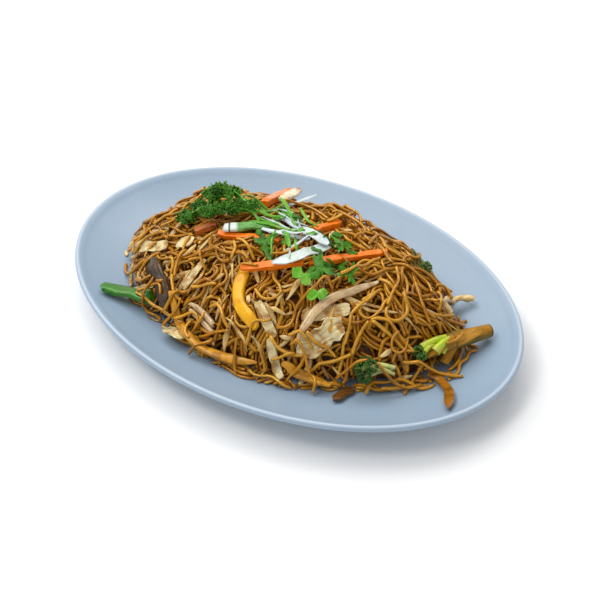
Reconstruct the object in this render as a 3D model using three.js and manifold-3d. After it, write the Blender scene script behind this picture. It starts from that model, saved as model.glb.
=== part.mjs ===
// Stir-fried noodles with vegetables, heaped on an oval coupe platter.
// Millimetres, +Z up. The origin is on the table under the middle of the platter, +X runs along its
// longer axis, and -Y is the side that faces the diner.
import * as THREE from "three";
import { mergeVertices } from "three/addons/utils/BufferGeometryUtils.js";
import Module from "manifold-3d";

const wasm = await Module();
wasm.setup();

// ---------------------------------------------------------------- driving dimensions

const PLATE = {
  length: 340,
  width: 238,
  height: 25.6,
  floor: 6, // top of the flat well above the table
  slope: 62, // how far the curved flank reaches in from the rim
  flankRise: 20.4, // how far the flank climbs from the well to the rim
  lip: 2.1, // radius of the rolled edge
  wall: 4.3, // thickness
  footInset: 57,
  footWidth: 6,
  segments: 52,
};

const HEAP = {
  x: -4,
  y: 3,
  turn: THREE.MathUtils.degToRad(4.5),
  halfLength: 126.5,
  halfWidth: 76.5,
  height: 55,
  crown: 2.2, // how flat the top is
  edge: 0.67, // how steeply the sides come down
  waver: 0.022, // how uneven the outline is, as a share of the radius
  lump: 1.3, // how uneven the top is
  spokes: 44,
};

const NOODLE = { diameter: 2.7, sides: 4, step: 7.2, count: 21, length: 90 };

const GAP = 0.6; // clear space kept between pieces that touch on the plate
const UNDER_GAP = 0.6; // clear space between the heap and the platter

// ---------------------------------------------------------------- the ground that food lies on

// Half axes of the platter's oval at a distance in from its rim: evenly inset near the rim, shrinking to
// the centre point further in.
function ovalAt(inset) {
  const a = PLATE.length / 2;
  const b = PLATE.width / 2;
  const squeeze = 1 - (1 - b / a) * (inset / a);
  return [a - inset, b - inset * squeeze];
}

// How far in from the rim a point of the plan lies.
function insetAt(x, y) {
  let near = 0;
  let far = PLATE.length / 2 - 1e-6;
  for (let i = 0; i < 30; i++) {
    const middle = (near + far) / 2;
    const [a, b] = ovalAt(middle);
    if ((x / a) ** 2 + (y / b) ** 2 < 1) near = middle;
    else far = middle;
  }
  return near;
}

const flankHeight = (inset) =>
  PLATE.floor + PLATE.flankRise * Math.max(0, 1 - inset / PLATE.slope) ** 2;

const plateTop = (x, y) => flankHeight(insetAt(x, y));

// A point of the plan as share of the heap's radius and the direction it lies in.
function heapPolar(x, y) {
  const dx = x - HEAP.x;
  const dy = y - HEAP.y;
  const u = (dx * Math.cos(HEAP.turn) + dy * Math.sin(HEAP.turn)) / HEAP.halfLength;
  const v = (-dx * Math.sin(HEAP.turn) + dy * Math.cos(HEAP.turn)) / HEAP.halfWidth;
  const angle = Math.atan2(v, u);
  return [Math.hypot(u, v) / outlineAt(angle), angle];
}

const outlineAt = (angle) =>
  1 + HEAP.waver * (Math.sin(3 * angle + 0.6) + 0.7 * Math.sin(5 * angle + 2.1) + 0.5 * Math.sin(8 * angle));

function heapPoint(share, angle) {
  const r = share * outlineAt(angle);
  const u = r * Math.cos(angle) * HEAP.halfLength;
  const v = r * Math.sin(angle) * HEAP.halfWidth;
  return [
    HEAP.x + u * Math.cos(HEAP.turn) - v * Math.sin(HEAP.turn),
    HEAP.y + u * Math.sin(HEAP.turn) + v * Math.cos(HEAP.turn),
  ];
}

// Height of the packed noodles under the loose ones.
function coreTop(x, y) {
  const [share] = heapPolar(x, y);
  if (share >= 1) return plateTop(x, y) + UNDER_GAP;
  const lumps = Math.sin(x / 11 + 1) * Math.cos(y / 9) + 0.6 * Math.sin(x / 6.5 - y / 8);
  const fade = Math.min(1, (1 - share) * 4);
  const mound = HEAP.height * (1 - share ** HEAP.crown) ** HEAP.edge;
  return plateTop(x, y) + UNDER_GAP + mound + HEAP.lump * lumps * fade;
}

// ---------------------------------------------------------------- solids

function geometryOf(positions, triangles) {
  const geometry = new THREE.BufferGeometry();
  geometry.setAttribute("position", new THREE.Float32BufferAttribute(positions.flat(), 3));
  geometry.setIndex(triangles.flat());
  return geometry;
}

// Rings of equal numbers of points, joined one to the next, as a closed solid. An end is closed by a fan to
// its own point, or across the ring itself where it has none.
function loftSolid(rings, startPoint, endPoint) {
  const n = rings[0].length;
  const positions = rings.flat().map((p) => [p.x, p.y, p.z]);
  const triangles = [];
  for (let i = 0; i + 1 < rings.length; i++) {
    for (let j = 0; j < n; j++) {
      const a = i * n + j;
      const b = i * n + ((j + 1) % n);
      triangles.push([a, b, b + n], [a, b + n, a + n]);
    }
  }
  const close = (first, tip, flip) => {
    const start = tip ? 0 : 1;
    const end = tip ? n : n - 1;
    const hub = tip ? positions.push([tip.x, tip.y, tip.z]) - 1 : first;
    for (let j = start; j < end; j++) {
      const a = first + j;
      const b = first + ((j + 1) % n);
      triangles.push(flip ? [hub, b, a] : [hub, a, b]);
    }
  };
  close(0, startPoint, true);
  close((rings.length - 1) * n, endPoint, false);
  return geometryOf(positions, triangles);
}

// The same solid with its faces pointing out.
function facingOut(geometry) {
  const p = geometry.getAttribute("position");
  const index = geometry.getIndex().array;
  const [a, b, c] = [new THREE.Vector3(), new THREE.Vector3(), new THREE.Vector3()];
  let volume = 0;
  for (let i = 0; i < index.length; i += 3) {
    a.fromBufferAttribute(p, index[i]);
    b.fromBufferAttribute(p, index[i + 1]);
    c.fromBufferAttribute(p, index[i + 2]);
    volume += a.dot(b.cross(c));
  }
  if (volume < 0) {
    for (let i = 0; i < index.length; i += 3) [index[i], index[i + 1]] = [index[i + 1], index[i]];
  }
  return geometry;
}

function toManifold(geometry) {
  const bare = geometry.clone();
  bare.deleteAttribute("normal");
  bare.deleteAttribute("uv");
  const merged = facingOut(mergeVertices(bare, 1e-4));
  const mesh = new wasm.Mesh({
    numProp: 3,
    vertProperties: merged.getAttribute("position").array,
    triVerts: new Uint32Array(merged.getIndex().array),
  });
  return new wasm.Manifold(mesh);
}

function fromManifold(solid) {
  const mesh = solid.getMesh();
  const geometry = new THREE.BufferGeometry();
  geometry.setAttribute("position", new THREE.BufferAttribute(mesh.vertProperties, 3));
  geometry.setIndex(new THREE.BufferAttribute(mesh.triVerts, 1));
  return geometry;
}

// The largest body of a solid: loose scraps are dropped and sealed hollows filled.
const mainBody = (solid) => solid.decompose().reduce((a, b) => (b.volume() > a.volume() ? b : a));

const fused = (geometries) => geometries.map(toManifold).reduce((a, b) => a.add(b));

// ---------------------------------------------------------------- platter and heap

function plateGeometry() {
  const { height, lip, wall, slope, footInset, footWidth } = PLATE;
  const under = (inset) => [inset, Math.max(flankHeight(inset) - wall, PLATE.floor - wall)];
  const rolled = [120, 60, 0, -75].map((degrees) => {
    const turn = THREE.MathUtils.degToRad(degrees);
    return [lip - lip * Math.cos(turn), height - lip + lip * Math.sin(turn)];
  });
  const profile = [
    ...[slope, 42, 25, 11].map((inset) => [inset, flankHeight(inset)]),
    ...rolled.map(([inset, z], i) => (i === 0 ? [2 * lip, height - lip + 0.4] : [inset, z])),
    ...[18, 36, footInset - 1.5].map(under),
    [footInset, 0],
    [footInset + footWidth, 0],
    under(footInset + footWidth + 1.5),
  ];
  const rings = profile.map(([inset, z]) => {
    const [a, b] = ovalAt(inset);
    return Array.from({ length: PLATE.segments }, (_, j) => {
      const t = (j / PLATE.segments) * 2 * Math.PI;
      return new THREE.Vector3(a * Math.cos(t), b * Math.sin(t), z);
    });
  });
  const wellCentre = new THREE.Vector3(0, 0, PLATE.floor);
  const baseCentre = new THREE.Vector3(0, 0, PLATE.floor - wall);
  return facingOut(loftSolid(rings, wellCentre, baseCentre));
}

// The packed noodles. A lift of more than nothing gives the same solid grown upwards.
function coreGeometry(lift = 0) {
  const ring = (share, top) =>
    Array.from({ length: HEAP.spokes }, (_, j) => {
      const [x, y] = heapPoint(share, (j / HEAP.spokes) * 2 * Math.PI);
      return new THREE.Vector3(x, y, top ? coreTop(x, y) + lift : plateTop(x, y) + UNDER_GAP);
    });
  const overTop = [0.25, 0.45, 0.62, 0.76, 0.87, 0.95].map((share) => ring(share, true));
  const underneath = [1, 0.78, 0.45].map((share) => ring(share, false));
  const crest = new THREE.Vector3(HEAP.x, HEAP.y, coreTop(HEAP.x, HEAP.y) + lift);
  const base = new THREE.Vector3(HEAP.x, HEAP.y, plateTop(HEAP.x, HEAP.y) + UNDER_GAP);
  return facingOut(loftSolid([...overTop, ...underneath], crest, base));
}

// Clumps of noodles that spill out from under the near side, as points of the plan. Strips lie on them.
const CLUMPS = [
  [[-46, -66], [-32, -75], [-14, -79], [5, -78], [22, -71]],
  [[44, -63], [58, -60], [73, -54]],
];
const CLUMP = { width: 11, height: 6, ends: 0.55, rings: 8 };

// A clump is a low bank that stands just clear of the platter and runs into the heap's side. It thins out
// towards its ends.
function clumpGeometry(along) {
  const plan = new THREE.SplineCurve(along.map(([x, y]) => new THREE.Vector2(x, y)));
  const rings = Array.from({ length: CLUMP.rings }, (_, i) => {
    const share = i / (CLUMP.rings - 1);
    const middle = plan.getPointAt(share);
    const forward = plan.getTangentAt(share);
    const size = THREE.MathUtils.lerp(CLUMP.ends, 1, Math.sin(share * Math.PI));
    const section = [[-1, 0], [1, 0], [0.55, 1], [-0.55, 1]];
    return section.map(([across, up]) => {
      const x = middle.x - (forward.y * across * size * CLUMP.width) / 2;
      const y = middle.y + (forward.x * across * size * CLUMP.width) / 2;
      return new THREE.Vector3(x, y, plateTop(x, y) + UNDER_GAP + up * size * CLUMP.height);
    });
  });
  return facingOut(loftSolid(rings));
}

// ---------------------------------------------------------------- laying pieces on the heap

// For each millimetre square of the plan, how high the things there reach and how low the pieces come.
const reach = new Map();
const underside = new Map();
const square = (x, y) => Math.round(x) * 1000 + Math.round(y);

function ground(x, y) {
  return Math.max(coreTop(x, y), plateTop(x, y));
}

function groundNormal(x, y) {
  const d = 3;
  const dx = (ground(x + d, y) - ground(x - d, y)) / (2 * d);
  const dy = (ground(x, y + d) - ground(x, y - d)) / (2 * d);
  return new THREE.Vector3(-dx, -dy, 1).normalize();
}

// Calls visit with points spread over a surface, less than a millimetre apart.
function walkSurface(geometry, visit) {
  const p = geometry.getAttribute("position");
  const index = geometry.getIndex().array;
  const [a, b, c, spot] = [0, 1, 2, 3].map(() => new THREE.Vector3());
  for (let i = 0; i < index.length; i += 3) {
    a.fromBufferAttribute(p, index[i]);
    b.fromBufferAttribute(p, index[i + 1]);
    c.fromBufferAttribute(p, index[i + 2]);
    const n = Math.ceil(Math.max(a.distanceTo(b), b.distanceTo(c), c.distanceTo(a)) / 0.7);
    for (let u = 0; u <= n; u++) {
      for (let v = 0; v <= n - u; v++) {
        const w = n - u - v;
        spot.set(0, 0, 0).addScaledVector(a, u / n).addScaledVector(b, v / n).addScaledVector(c, w / n);
        visit(spot);
      }
    }
  }
}

// Notes where a surface lies, so that later pieces rest on it. The heap and the platter have no underside
// that anything could pass.
function settle(geometry, isPiece = true) {
  walkSurface(geometry, ({ x, y, z }) => {
    const key = square(x, y);
    reach.set(key, Math.max(reach.get(key) ?? 0, z));
    if (isPiece) underside.set(key, Math.min(underside.get(key) ?? Infinity, z));
  });
  return geometry;
}

// The lowest height at which a point of a new piece is clear of what is there.
function clearHeight(x, y) {
  let z = 0;
  for (const dx of [-1, 0, 1]) {
    for (const dy of [-1, 0, 1]) z = Math.max(z, reach.get(square(x + dx, y + dy)) ?? 0);
  }
  return z + GAP;
}

// Cross sections as points of [sideways, up], each in half widths and half thicknesses.
const SECTIONS = {
  stick: [[-1, -1], [1, -1], [1, 1], [-1, 1]],
  strip: [[-1, -0.1], [-0.55, -0.9], [0.55, -0.9], [1, -0.1], [0.5, 0.95], [-0.5, 0.95]],
  round: [[-1, 0], [-0.31, -0.95], [0.81, -0.59], [0.81, 0.59], [-0.31, 0.95]],
  sheet: [[-1, -0.6], [0, -1], [1, -0.6], [1, 0.9], [0, 0.4], [-1, 0.9]],
};

// A strip, stick or shred that follows the plan points and lies on whatever is under it. A rigid piece
// stays straight, a limp one bends over what it crosses, and rise lifts its two ends off the heap.
function laidStrip(along, shape) {
  const { width, thick, rings = 9, section = "strip", rigid = false } = shape;
  const { taper = [0.6, 0.6], rise = [0, 0], ruffle = 0 } = shape;
  const plan = new THREE.SplineCurve(along.map(([x, y]) => new THREE.Vector2(x, y)));
  const spots = plan.getSpacedPoints(rings - 1);
  const share = (i) => i / (rings - 1);
  const centres = spots.map(({ x, y }, i) => {
    const towardStart = Math.max(0, 1 - 2 * share(i)) ** 2;
    const towardEnd = Math.max(0, 2 * share(i) - 1) ** 2;
    const lifted = rise[0] * towardStart + rise[1] * towardEnd;
    return new THREE.Vector3(x, y, ground(x, y) + GAP + thick / 2 + lifted);
  });
  if (rigid) {
    const [first, last] = [centres[0].z, centres.at(-1).z];
    centres.forEach((p, i) => (p.z = THREE.MathUtils.lerp(first, last, share(i))));
  }
  const sizeAt = (i) => {
    const fromStart = Math.min(1, share(i) / 0.2);
    const fromEnd = Math.min(1, (1 - share(i)) / 0.2);
    return THREE.MathUtils.lerp(taper[0], 1, fromStart) * THREE.MathUtils.lerp(taper[1], 1, fromEnd);
  };
  const ringsNow = () =>
    centres.map((centre, i) => {
      const ahead = centres[Math.min(i + 1, rings - 1)];
      const behind = centres[Math.max(i - 1, 0)];
      const forward = ahead.clone().sub(behind).normalize();
      const side = forward.clone().cross(groundNormal(centre.x, centre.y)).normalize();
      const up = side.clone().cross(forward);
      const wave = ruffle * Math.sin(i * 1.9 + centre.x);
      return SECTIONS[section].map(([s, t]) =>
        centre
          .clone()
          .addScaledVector(side, (s * sizeAt(i) * width) / 2)
          .addScaledVector(up, (t * thick) / 2 + wave * s * Math.abs(s)),
      );
    });
  for (let pass = 0; pass < 5; pass++) {
    const now = ringsNow();
    const lift = centres.map(() => 0);
    for (let i = 0; i + 1 < rings; i++) {
      walkSurface(loftSolid([now[i], now[i + 1]]), ({ x, y, z }) => {
        const needed = clearHeight(x, y) - z;
        lift[i] = Math.max(lift[i], needed);
        lift[i + 1] = Math.max(lift[i + 1], needed);
      });
    }
    const most = Math.max(...lift);
    centres.forEach((p, i) => {
      const near = lift.map((l, j) => l - 0.3 * p.distanceTo(centres[j]));
      p.z += rigid ? most : Math.max(0, ...near);
    });
  }
  return settle(facingOut(loftSolid(ringsNow())));
}

// A thin wavy leaf with a lobed outline. Its upper and lower faces have the same triangles.
function leafSolid({ centre, radius, lobes, lobeDepth = 0.28, turn, tilt, thick, wave, points = 9 }) {
  const face = (offset) => {
    const at = (share, j) => {
      const angle = (j / points) * 2 * Math.PI;
      const notch = 1 - lobeDepth + lobeDepth * Math.cos(lobes * angle);
      const r = radius * share * notch;
      const x = r * Math.cos(angle + turn);
      const y = r * Math.sin(angle + turn);
      const z = wave * share * Math.sin(3 * angle + turn) + x * tilt[0] + y * tilt[1] + offset;
      return [centre[0] + x, centre[1] + y, centre[2] + z];
    };
    const ring = (share) => Array.from({ length: points }, (_, j) => at(share, j));
    return [[centre[0], centre[1], centre[2] + offset], ...ring(0.55), ...ring(1)];
  };
  const upper = face(thick / 2);
  const lower = face(-thick / 2);
  const offset = upper.length;
  const triangles = [];
  for (let j = 0; j < points; j++) {
    const k = (j + 1) % points;
    const [a, b, c, d] = [1 + j, 1 + k, 1 + points + j, 1 + points + k];
    for (const [p, q, r] of [[0, a, b], [a, c, d], [a, d, b]]) {
      triangles.push([p, q, r], [offset + p, offset + r, offset + q]);
    }
    triangles.push([c, offset + c, offset + d], [c, offset + d, d]);
  }
  return facingOut(geometryOf([...upper, ...lower], triangles));
}

// A leaf laid on whatever is under it, tilted as the heap is there.
function laidLeaf({ at, radius, lobes = 3, turn = 0, wave = 1, points = 9 }) {
  const [x, y] = at;
  const normal = groundNormal(x, y);
  const tilt = [-normal.x / normal.z, -normal.y / normal.z];
  const leafAt = (z) => leafSolid({ centre: [x, y, z], radius, lobes, turn, tilt, thick: 0.8, wave, points });
  let lift = 0;
  walkSurface(leafAt(0), (p) => {
    lift = Math.max(lift, clearHeight(p.x, p.y) - p.z);
  });
  return settle(leafAt(lift));
}

// ---------------------------------------------------------------- vegetables with a shape of their own

// Points evenly round a circle in the plane of two directions.
function circle(centre, side, up, radius, sides, start = 0) {
  return Array.from({ length: sides }, (_, j) => {
    const angle = ((j + start) / sides) * 2 * Math.PI;
    return centre
      .clone()
      .addScaledVector(side, radius * Math.cos(angle))
      .addScaledVector(up, radius * Math.sin(angle));
  });
}

function taperedStem(from, to, radiusFrom, radiusTo, sides = 7) {
  const forward = new THREE.Vector3().subVectors(to, from).normalize();
  const side = new THREE.Vector3(0, 0, 1).cross(forward).normalize();
  if (side.lengthSq() < 0.5) side.set(1, 0, 0);
  const up = forward.clone().cross(side);
  const ring = (share) => {
    const radius = THREE.MathUtils.lerp(radiusFrom, radiusTo, share);
    return circle(from.clone().lerp(to, share), side, up, radius, sides);
  };
  return facingOut(loftSolid([0, 0.5, 1].map(ring)));
}

// A knobbly ball: an icosahedron whose corners move in and out by a fixed pattern.
function knob(centre, radius, detail = 1) {
  const geometry = new THREE.IcosahedronGeometry(radius, detail);
  const p = geometry.getAttribute("position");
  for (let i = 0; i < p.count; i++) {
    const v = new THREE.Vector3().fromBufferAttribute(p, i);
    const bump = 1 + 0.1 * Math.sin(v.x * 1.7 + centre.x) * Math.cos(v.y * 1.9 + v.z);
    v.multiplyScalar(bump).add(centre);
    p.setXYZ(i, v.x, v.y, v.z);
  }
  const bare = geometry.clone();
  bare.deleteAttribute("normal");
  bare.deleteAttribute("uv");
  return mergeVertices(bare, 1e-3);
}

// A floret: a stem that splits under a crown of buds. It is trimmed to the heap and the platter.
function floretGeometry({ crown, crownRadius, stemEnd, stemRadius, knobs }, blocked) {
  const heart = new THREE.Vector3(...crown);
  const end = new THREE.Vector3(...stemEnd);
  const away = heart.clone().sub(end).normalize();
  const side = away.clone().cross(new THREE.Vector3(0, 0, 1)).normalize();
  const up = side.clone().cross(away);
  const buds = Array.from({ length: knobs }, (_, j) => {
    const angle = (j / knobs) * 2 * Math.PI;
    const spread = crownRadius * 0.55;
    const centre = heart
      .clone()
      .addScaledVector(side, spread * Math.cos(angle))
      .addScaledVector(up, spread * Math.sin(angle))
      .addScaledVector(away, crownRadius * 0.12 * Math.sin(2 * angle));
    return knob(centre, crownRadius * 0.52);
  });
  const top = knob(heart.clone().addScaledVector(away, crownRadius * 0.35), crownRadius * 0.6);
  const whole = fused([taperedStem(end, heart, stemRadius, stemRadius * 1.5), top, ...buds]);
  return keepClear(whole, blocked);
}

// A split broccoli stalk lying on the platter: a thick stem, two branches and a few buds. Each limb runs from
// one point of the plan to another, and rests on what is under it.
const STALK = {
  limbs: [
    { from: [136, 39], to: [122, 13], radii: [4.6, 6.4], raise: [0.5, 1] },
    { from: [122, 13], to: [113, -8], radii: [6.4, 6.2], raise: [1, 1] },
    { from: [123, 13], to: [123, 2], radii: [5, 4.4], raise: [1.5, 0.6] },
  ],
  buds: [{ at: [112, -11], radius: 6 }, { at: [123, -1], radius: 4.4 }],
};

function stalkGeometry(blocked) {
  const resting = ([x, y], radius, raise) => new THREE.Vector3(x, y, ground(x, y) + GAP + radius + raise);
  const limbs = STALK.limbs.map(({ from, to, radii, raise }) =>
    taperedStem(resting(from, radii[0], raise[0]), resting(to, radii[1], raise[1]), radii[0], radii[1]),
  );
  const buds = STALK.buds.map(({ at, radius }) => knob(resting(at, radius, 0), radius));
  return keepClear(fused([...limbs, ...buds]), blocked);
}

// A solid trimmed clear of others, reduced to its main body.
function keepClear(solid, blocked) {
  const trimmed = blocked.reduce((rest, other) => rest.subtract(other), solid);
  return settle(fromManifold(mainBody(trimmed)));
}

// Curly parsley: a stem with short branches, each ending in ruffled leaves that overlap into a tuft.
const PARSLEY = {
  stem: [[-27, 3, 69], [-69, -12, 63]],
  tufts: [
    [-73, -19, 58], [-71, -9, 62], [-57, -15, 67], [-63, -3, 71], [-48, -9, 70],
    [-61, 2, 75], [-51, 4, 74], [-41, -2, 71], [-35, 3, 71],
  ],
  leaf: 9,
};

function parsleyGeometry(blocked) {
  const [from, to] = PARSLEY.stem.map((p) => new THREE.Vector3(...p));
  const stem = taperedStem(from, to, 1.3, 1.2, 5);
  const branches = PARSLEY.tufts.map(([x, y, z]) => {
    const along = THREE.MathUtils.clamp((from.x - x) / (from.x - to.x), 0.05, 0.95);
    return taperedStem(from.clone().lerp(to, along), new THREE.Vector3(x, y, z), 1, 0.9, 4);
  });
  const leaves = PARSLEY.tufts.map((centre, i) =>
    leafSolid({
      centre,
      radius: PARSLEY.leaf,
      lobes: 3,
      lobeDepth: 0.16,
      turn: i * 1.3,
      tilt: [0.5 * Math.sin(i * 2.2), 0.5 * Math.cos(i * 1.7)],
      thick: 1.4,
      wave: 2.6,
      points: 6,
    }),
  );
  return keepClear(fused([stem, ...branches, ...leaves]), blocked);
}

// ---------------------------------------------------------------- what lies on the platter

const COLOURS = {
  porcelain: 0xcfdbe6,
  noodle: 0xb06a1c,
  carrot: 0xee6a12,
  stewedCarrot: 0xa8501e,
  parsley: 0x1f7a12,
  leaf: 0x3f9a26,
  springOnion: 0x7dbb5a,
  white: 0xe4e6e4,
  pale: 0xcfc089,
  yellowPepper: 0xd99a08,
  redOnion: 0xb98a72,
  greenPepper: 0x3f6d12,
  mushroom: 0x4a3526,
  browned: 0x8a4a0c,
  sauce: 0xb0690f,
  broccoli: 0x2c4a1c,
  stalk: 0x9a8a14,
};

const made = new THREE.Group();

function add(name, geometry, colour, roughness = 0.45) {
  const material = new THREE.MeshStandardMaterial({ color: COLOURS[colour], roughness, metalness: 0 });
  const mesh = new THREE.Mesh(geometry, material);
  mesh.name = name;
  made.add(mesh);
}

// Pieces in the order in which they lie, the lowest first.
const PIECES = [
  {
    name: "green_pepper_strip",
    colour: "greenPepper",
    along: [[-102, -80], [-87, -72], [-66, -68]],
    shape: { width: 11, thick: 4.6, taper: [0.9, 0.8] },
  },
  {
    name: "mushroom_slice",
    colour: "mushroom",
    along: [[-85, -49], [-63, -62], [-51, -71]],
    shape: { width: 13, thick: 4, taper: [0.6, 0.6] },
  },
  {
    name: "cabbage_piece_1",
    colour: "pale",
    along: [[-43, -80], [-34, -83], [-25, -83]],
    shape: { rings: 7, width: 9, thick: 1.6, section: "sheet", ruffle: 1.2 },
  },
  {
    name: "cabbage_piece_2",
    colour: "pale",
    along: [[-107, -37], [-91, -38], [-77, -37]],
    shape: { rings: 8, width: 8, thick: 1.4, section: "sheet", ruffle: 1 },
  },
  {
    name: "cabbage_piece_3",
    colour: "pale",
    along: [[-70, -35], [-58, -31]],
    shape: { rings: 6, width: 9, thick: 1.5, section: "sheet", ruffle: 0.8 },
  },
  {
    name: "cabbage_piece_4",
    colour: "pale",
    along: [[-44, -60], [-41, -51], [-39, -41]],
    shape: { rings: 7, width: 5, thick: 1.6, section: "sheet", ruffle: 0.5 },
  },
  {
    name: "cabbage_piece_5",
    colour: "pale",
    along: [[42, -43], [53, -34], [65, -22]],
    shape: { rings: 8, width: 9, thick: 1.5, section: "sheet", ruffle: 1.1 },
  },
  {
    name: "cabbage_piece_6",
    colour: "pale",
    along: [[48, -56], [58, -48], [68, -34]],
    shape: { rings: 8, width: 15, thick: 1.5, section: "sheet", ruffle: 1.4 },
  },
  {
    name: "cabbage_piece_7",
    colour: "pale",
    along: [[13, -51], [23, -56], [33, -60]],
    shape: { rings: 8, width: 6.5, thick: 1.7, section: "sheet", ruffle: 0.5 },
  },
  {
    name: "cabbage_piece_8",
    colour: "pale",
    along: [[31, -64], [38, -67], [47, -71]],
    shape: { rings: 7, width: 5.5, thick: 1.8, section: "sheet", ruffle: 0.5 },
  },
  {
    name: "orange_pepper_strip_1",
    colour: "sauce",
    along: [[-50, -66], [-35, -75], [-18, -82], [3, -81], [28, -72]],
    shape: { rings: 12, width: 6.4, thick: 2.6, taper: [0.5, 0.3] },
  },
  {
    name: "orange_pepper_strip_2",
    colour: "sauce",
    along: [[44, -67], [57, -64], [76, -58]],
    shape: { width: 6.4, thick: 2.2 },
  },
  {
    name: "browned_onion_tip",
    colour: "browned",
    along: [[87, -48], [84, -56], [84, -67]],
    shape: { rings: 6, width: 8, thick: 2.4, taper: [0.9, 0.15] },
  },
  {
    name: "brown_pepper_strip",
    colour: "browned",
    along: [[119, -11], [128, -11], [140, -21], [150, -41]],
    shape: { rings: 10, width: 6.5, thick: 3, taper: [0.9, 0.3] },
  },
  {
    name: "bean_sprout_1",
    colour: "pale",
    along: [[103, 28], [101, 55], [111, 63]],
    shape: { rings: 8, width: 5, thick: 4, section: "round", taper: [0.7, 0.6] },
  },
  {
    name: "bean_sprout_2",
    colour: "pale",
    along: [[103, 25], [112, 29]],
    shape: { rings: 6, width: 4.6, thick: 3.6, section: "round", taper: [0.6, 0.6] },
  },
  {
    name: "red_onion_strip",
    colour: "redOnion",
    along: [[49, -57], [50, -43], [54, -26], [69, 5]],
    shape: { rings: 14, width: 5.6, thick: 2, taper: [0.5, 0.4] },
  },
  {
    name: "red_onion_layers",
    colour: "redOnion",
    along: [[-33, -66], [-22, -68], [-9, -71]],
    shape: { rings: 8, width: 8, thick: 2.6 },
  },
  {
    name: "yellow_pepper_strip",
    colour: "yellowPepper",
    along: [[-7, -38], [-4, -49], [5, -59], [22, -64]],
    shape: { rings: 11, width: 8.6, thick: 3.4, taper: [0.8, 0.7] },
  },
  {
    name: "carrot_stick_1",
    colour: "stewedCarrot",
    along: [[-60, -27], [-48, -17]],
    shape: { rings: 4, width: 5, thick: 4.6, section: "stick", rigid: true, taper: [0.8, 0.8] },
  },
  {
    name: "carrot_stick_2",
    colour: "carrot",
    along: [[-42, -23], [0, -10]],
    shape: { rings: 5, width: 4.6, thick: 4, section: "stick", rigid: true, taper: [0.75, 0.7] },
  },
  {
    name: "carrot_stick_3",
    colour: "carrot",
    along: [[-7, -43], [27, -20]],
    shape: { rings: 5, width: 5, thick: 4.2, section: "stick", rigid: true, taper: [0.75, 0.7] },
  },
  {
    name: "carrot_stick_4",
    colour: "carrot",
    along: [[29, -17], [59, 31]],
    shape: { rings: 5, width: 4.8, thick: 4, section: "stick", rigid: true, taper: [0.7, 0.6] },
  },
  {
    name: "carrot_stick_5",
    colour: "carrot",
    along: [[13, 14], [16, 38]],
    shape: { rings: 4, width: 5.4, thick: 4.6, section: "stick", rigid: true, taper: [0.85, 0.8] },
  },
  {
    name: "white_shred_5",
    colour: "white",
    along: [[-26, 12], [-21, 32], [-16, 55]],
    shape: {
      rings: 6, width: 3.2, thick: 1.6, section: "sheet",
      rigid: true, taper: [0.7, 0.3], rise: [0, 13],
    },
  },
  {
    name: "carrot_stick_6",
    colour: "carrot",
    along: [[-33, 16], [-42, 59]],
    shape: {
      rings: 4, width: 6.4, thick: 5, section: "stick",
      rigid: true, taper: [0.85, 0.85], rise: [0, 6],
    },
  },
  {
    name: "pale_stem",
    colour: "pale",
    along: [[-22, 22], [-34, 58]],
    shape: { rings: 5, width: 7.5, thick: 3, rigid: true, taper: [0.8, 0.9], rise: [0, 6] },
  },
  {
    name: "spring_onion",
    colour: "springOnion",
    along: [[-39, -21], [-28, -13], [-15, 1]],
    shape: { rings: 8, width: 8.5, thick: 3.4, taper: [0.85, 0.8] },
  },
  {
    name: "white_shred_1",
    colour: "white",
    along: [[-16, -8], [2, -6], [15, 4]],
    shape: { rings: 7, width: 3.6, thick: 1.4, section: "sheet" },
  },
  {
    name: "white_shred_2",
    colour: "white",
    along: [[-19, 12], [-8, 13], [4, 9]],
    shape: { rings: 7, width: 5.2, thick: 1.6, section: "sheet" },
  },
  {
    name: "white_shred_3",
    colour: "white",
    along: [[11, -33], [24, -20], [30, 2]],
    shape: { rings: 8, width: 8.4, thick: 1.6, section: "sheet", taper: [0.15, 0.8] },
  },
  {
    name: "white_shred_4",
    colour: "white",
    along: [[8, 2], [20, 1], [32, 1]],
    shape: { rings: 7, width: 7.4, thick: 1.4, section: "sheet", taper: [0.6, 0.3] },
  },
];

// Herb leaves scattered over the top.
const LEAVES = [
  ["coriander_leaf_1", { at: [-5, -20], radius: 8, turn: 1.2 }],
  ["coriander_leaf_2", { at: [-13, 15], radius: 8.5, turn: 0.4 }],
  ["coriander_leaf_3", { at: [40, -19], radius: 10, turn: 2.4 }],
  ["coriander_leaf_4", { at: [57, -12], radius: 7.5, turn: 3.6 }],
  ["coriander_leaf_5", { at: [34, -32], radius: 6.5, turn: 0, lobes: 2 }],
  ["coriander_leaf_6", { at: [47, -33], radius: 6, turn: 0.7, lobes: 2 }],
  ["coriander_leaf_7", { at: [38, 8], radius: 6.5, turn: 5 }],
];

// Broccoli: one floret low on the near side, one on the far right flank with its stem in the air.
const FLORETS = [
  [
    "broccoli_floret_1",
    { crown: [92, -42, 25], crownRadius: 9, stemEnd: [104, -29, 20], stemRadius: 3, knobs: 3 },
  ],
  [
    "broccoli_floret_2",
    { crown: [78, 47, 38], crownRadius: 8, stemEnd: [64, 55, 45], stemRadius: 2.6, knobs: 3 },
  ],
];

// ---------------------------------------------------------------- noodles on the heap

// A repeatable stream of numbers from 0 to 1.
function seeded(seed) {
  let state = seed;
  return () => {
    state = (state * 1664525 + 1013904223) % 4294967296;
    return state / 4294967296;
  };
}

const random = seeded(7);
const between = (low, high) => low + (high - low) * random();

// Whether something that reaches up to a height would touch a piece lying there.
function touchesPiece(x, y, margin, top) {
  for (let dx = -margin; dx <= margin; dx += 1) {
    for (let dy = -margin; dy <= margin; dy += 1) {
      if ((underside.get(square(x + dx, y + dy)) ?? Infinity) < top + GAP) return true;
    }
  }
  return false;
}

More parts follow.
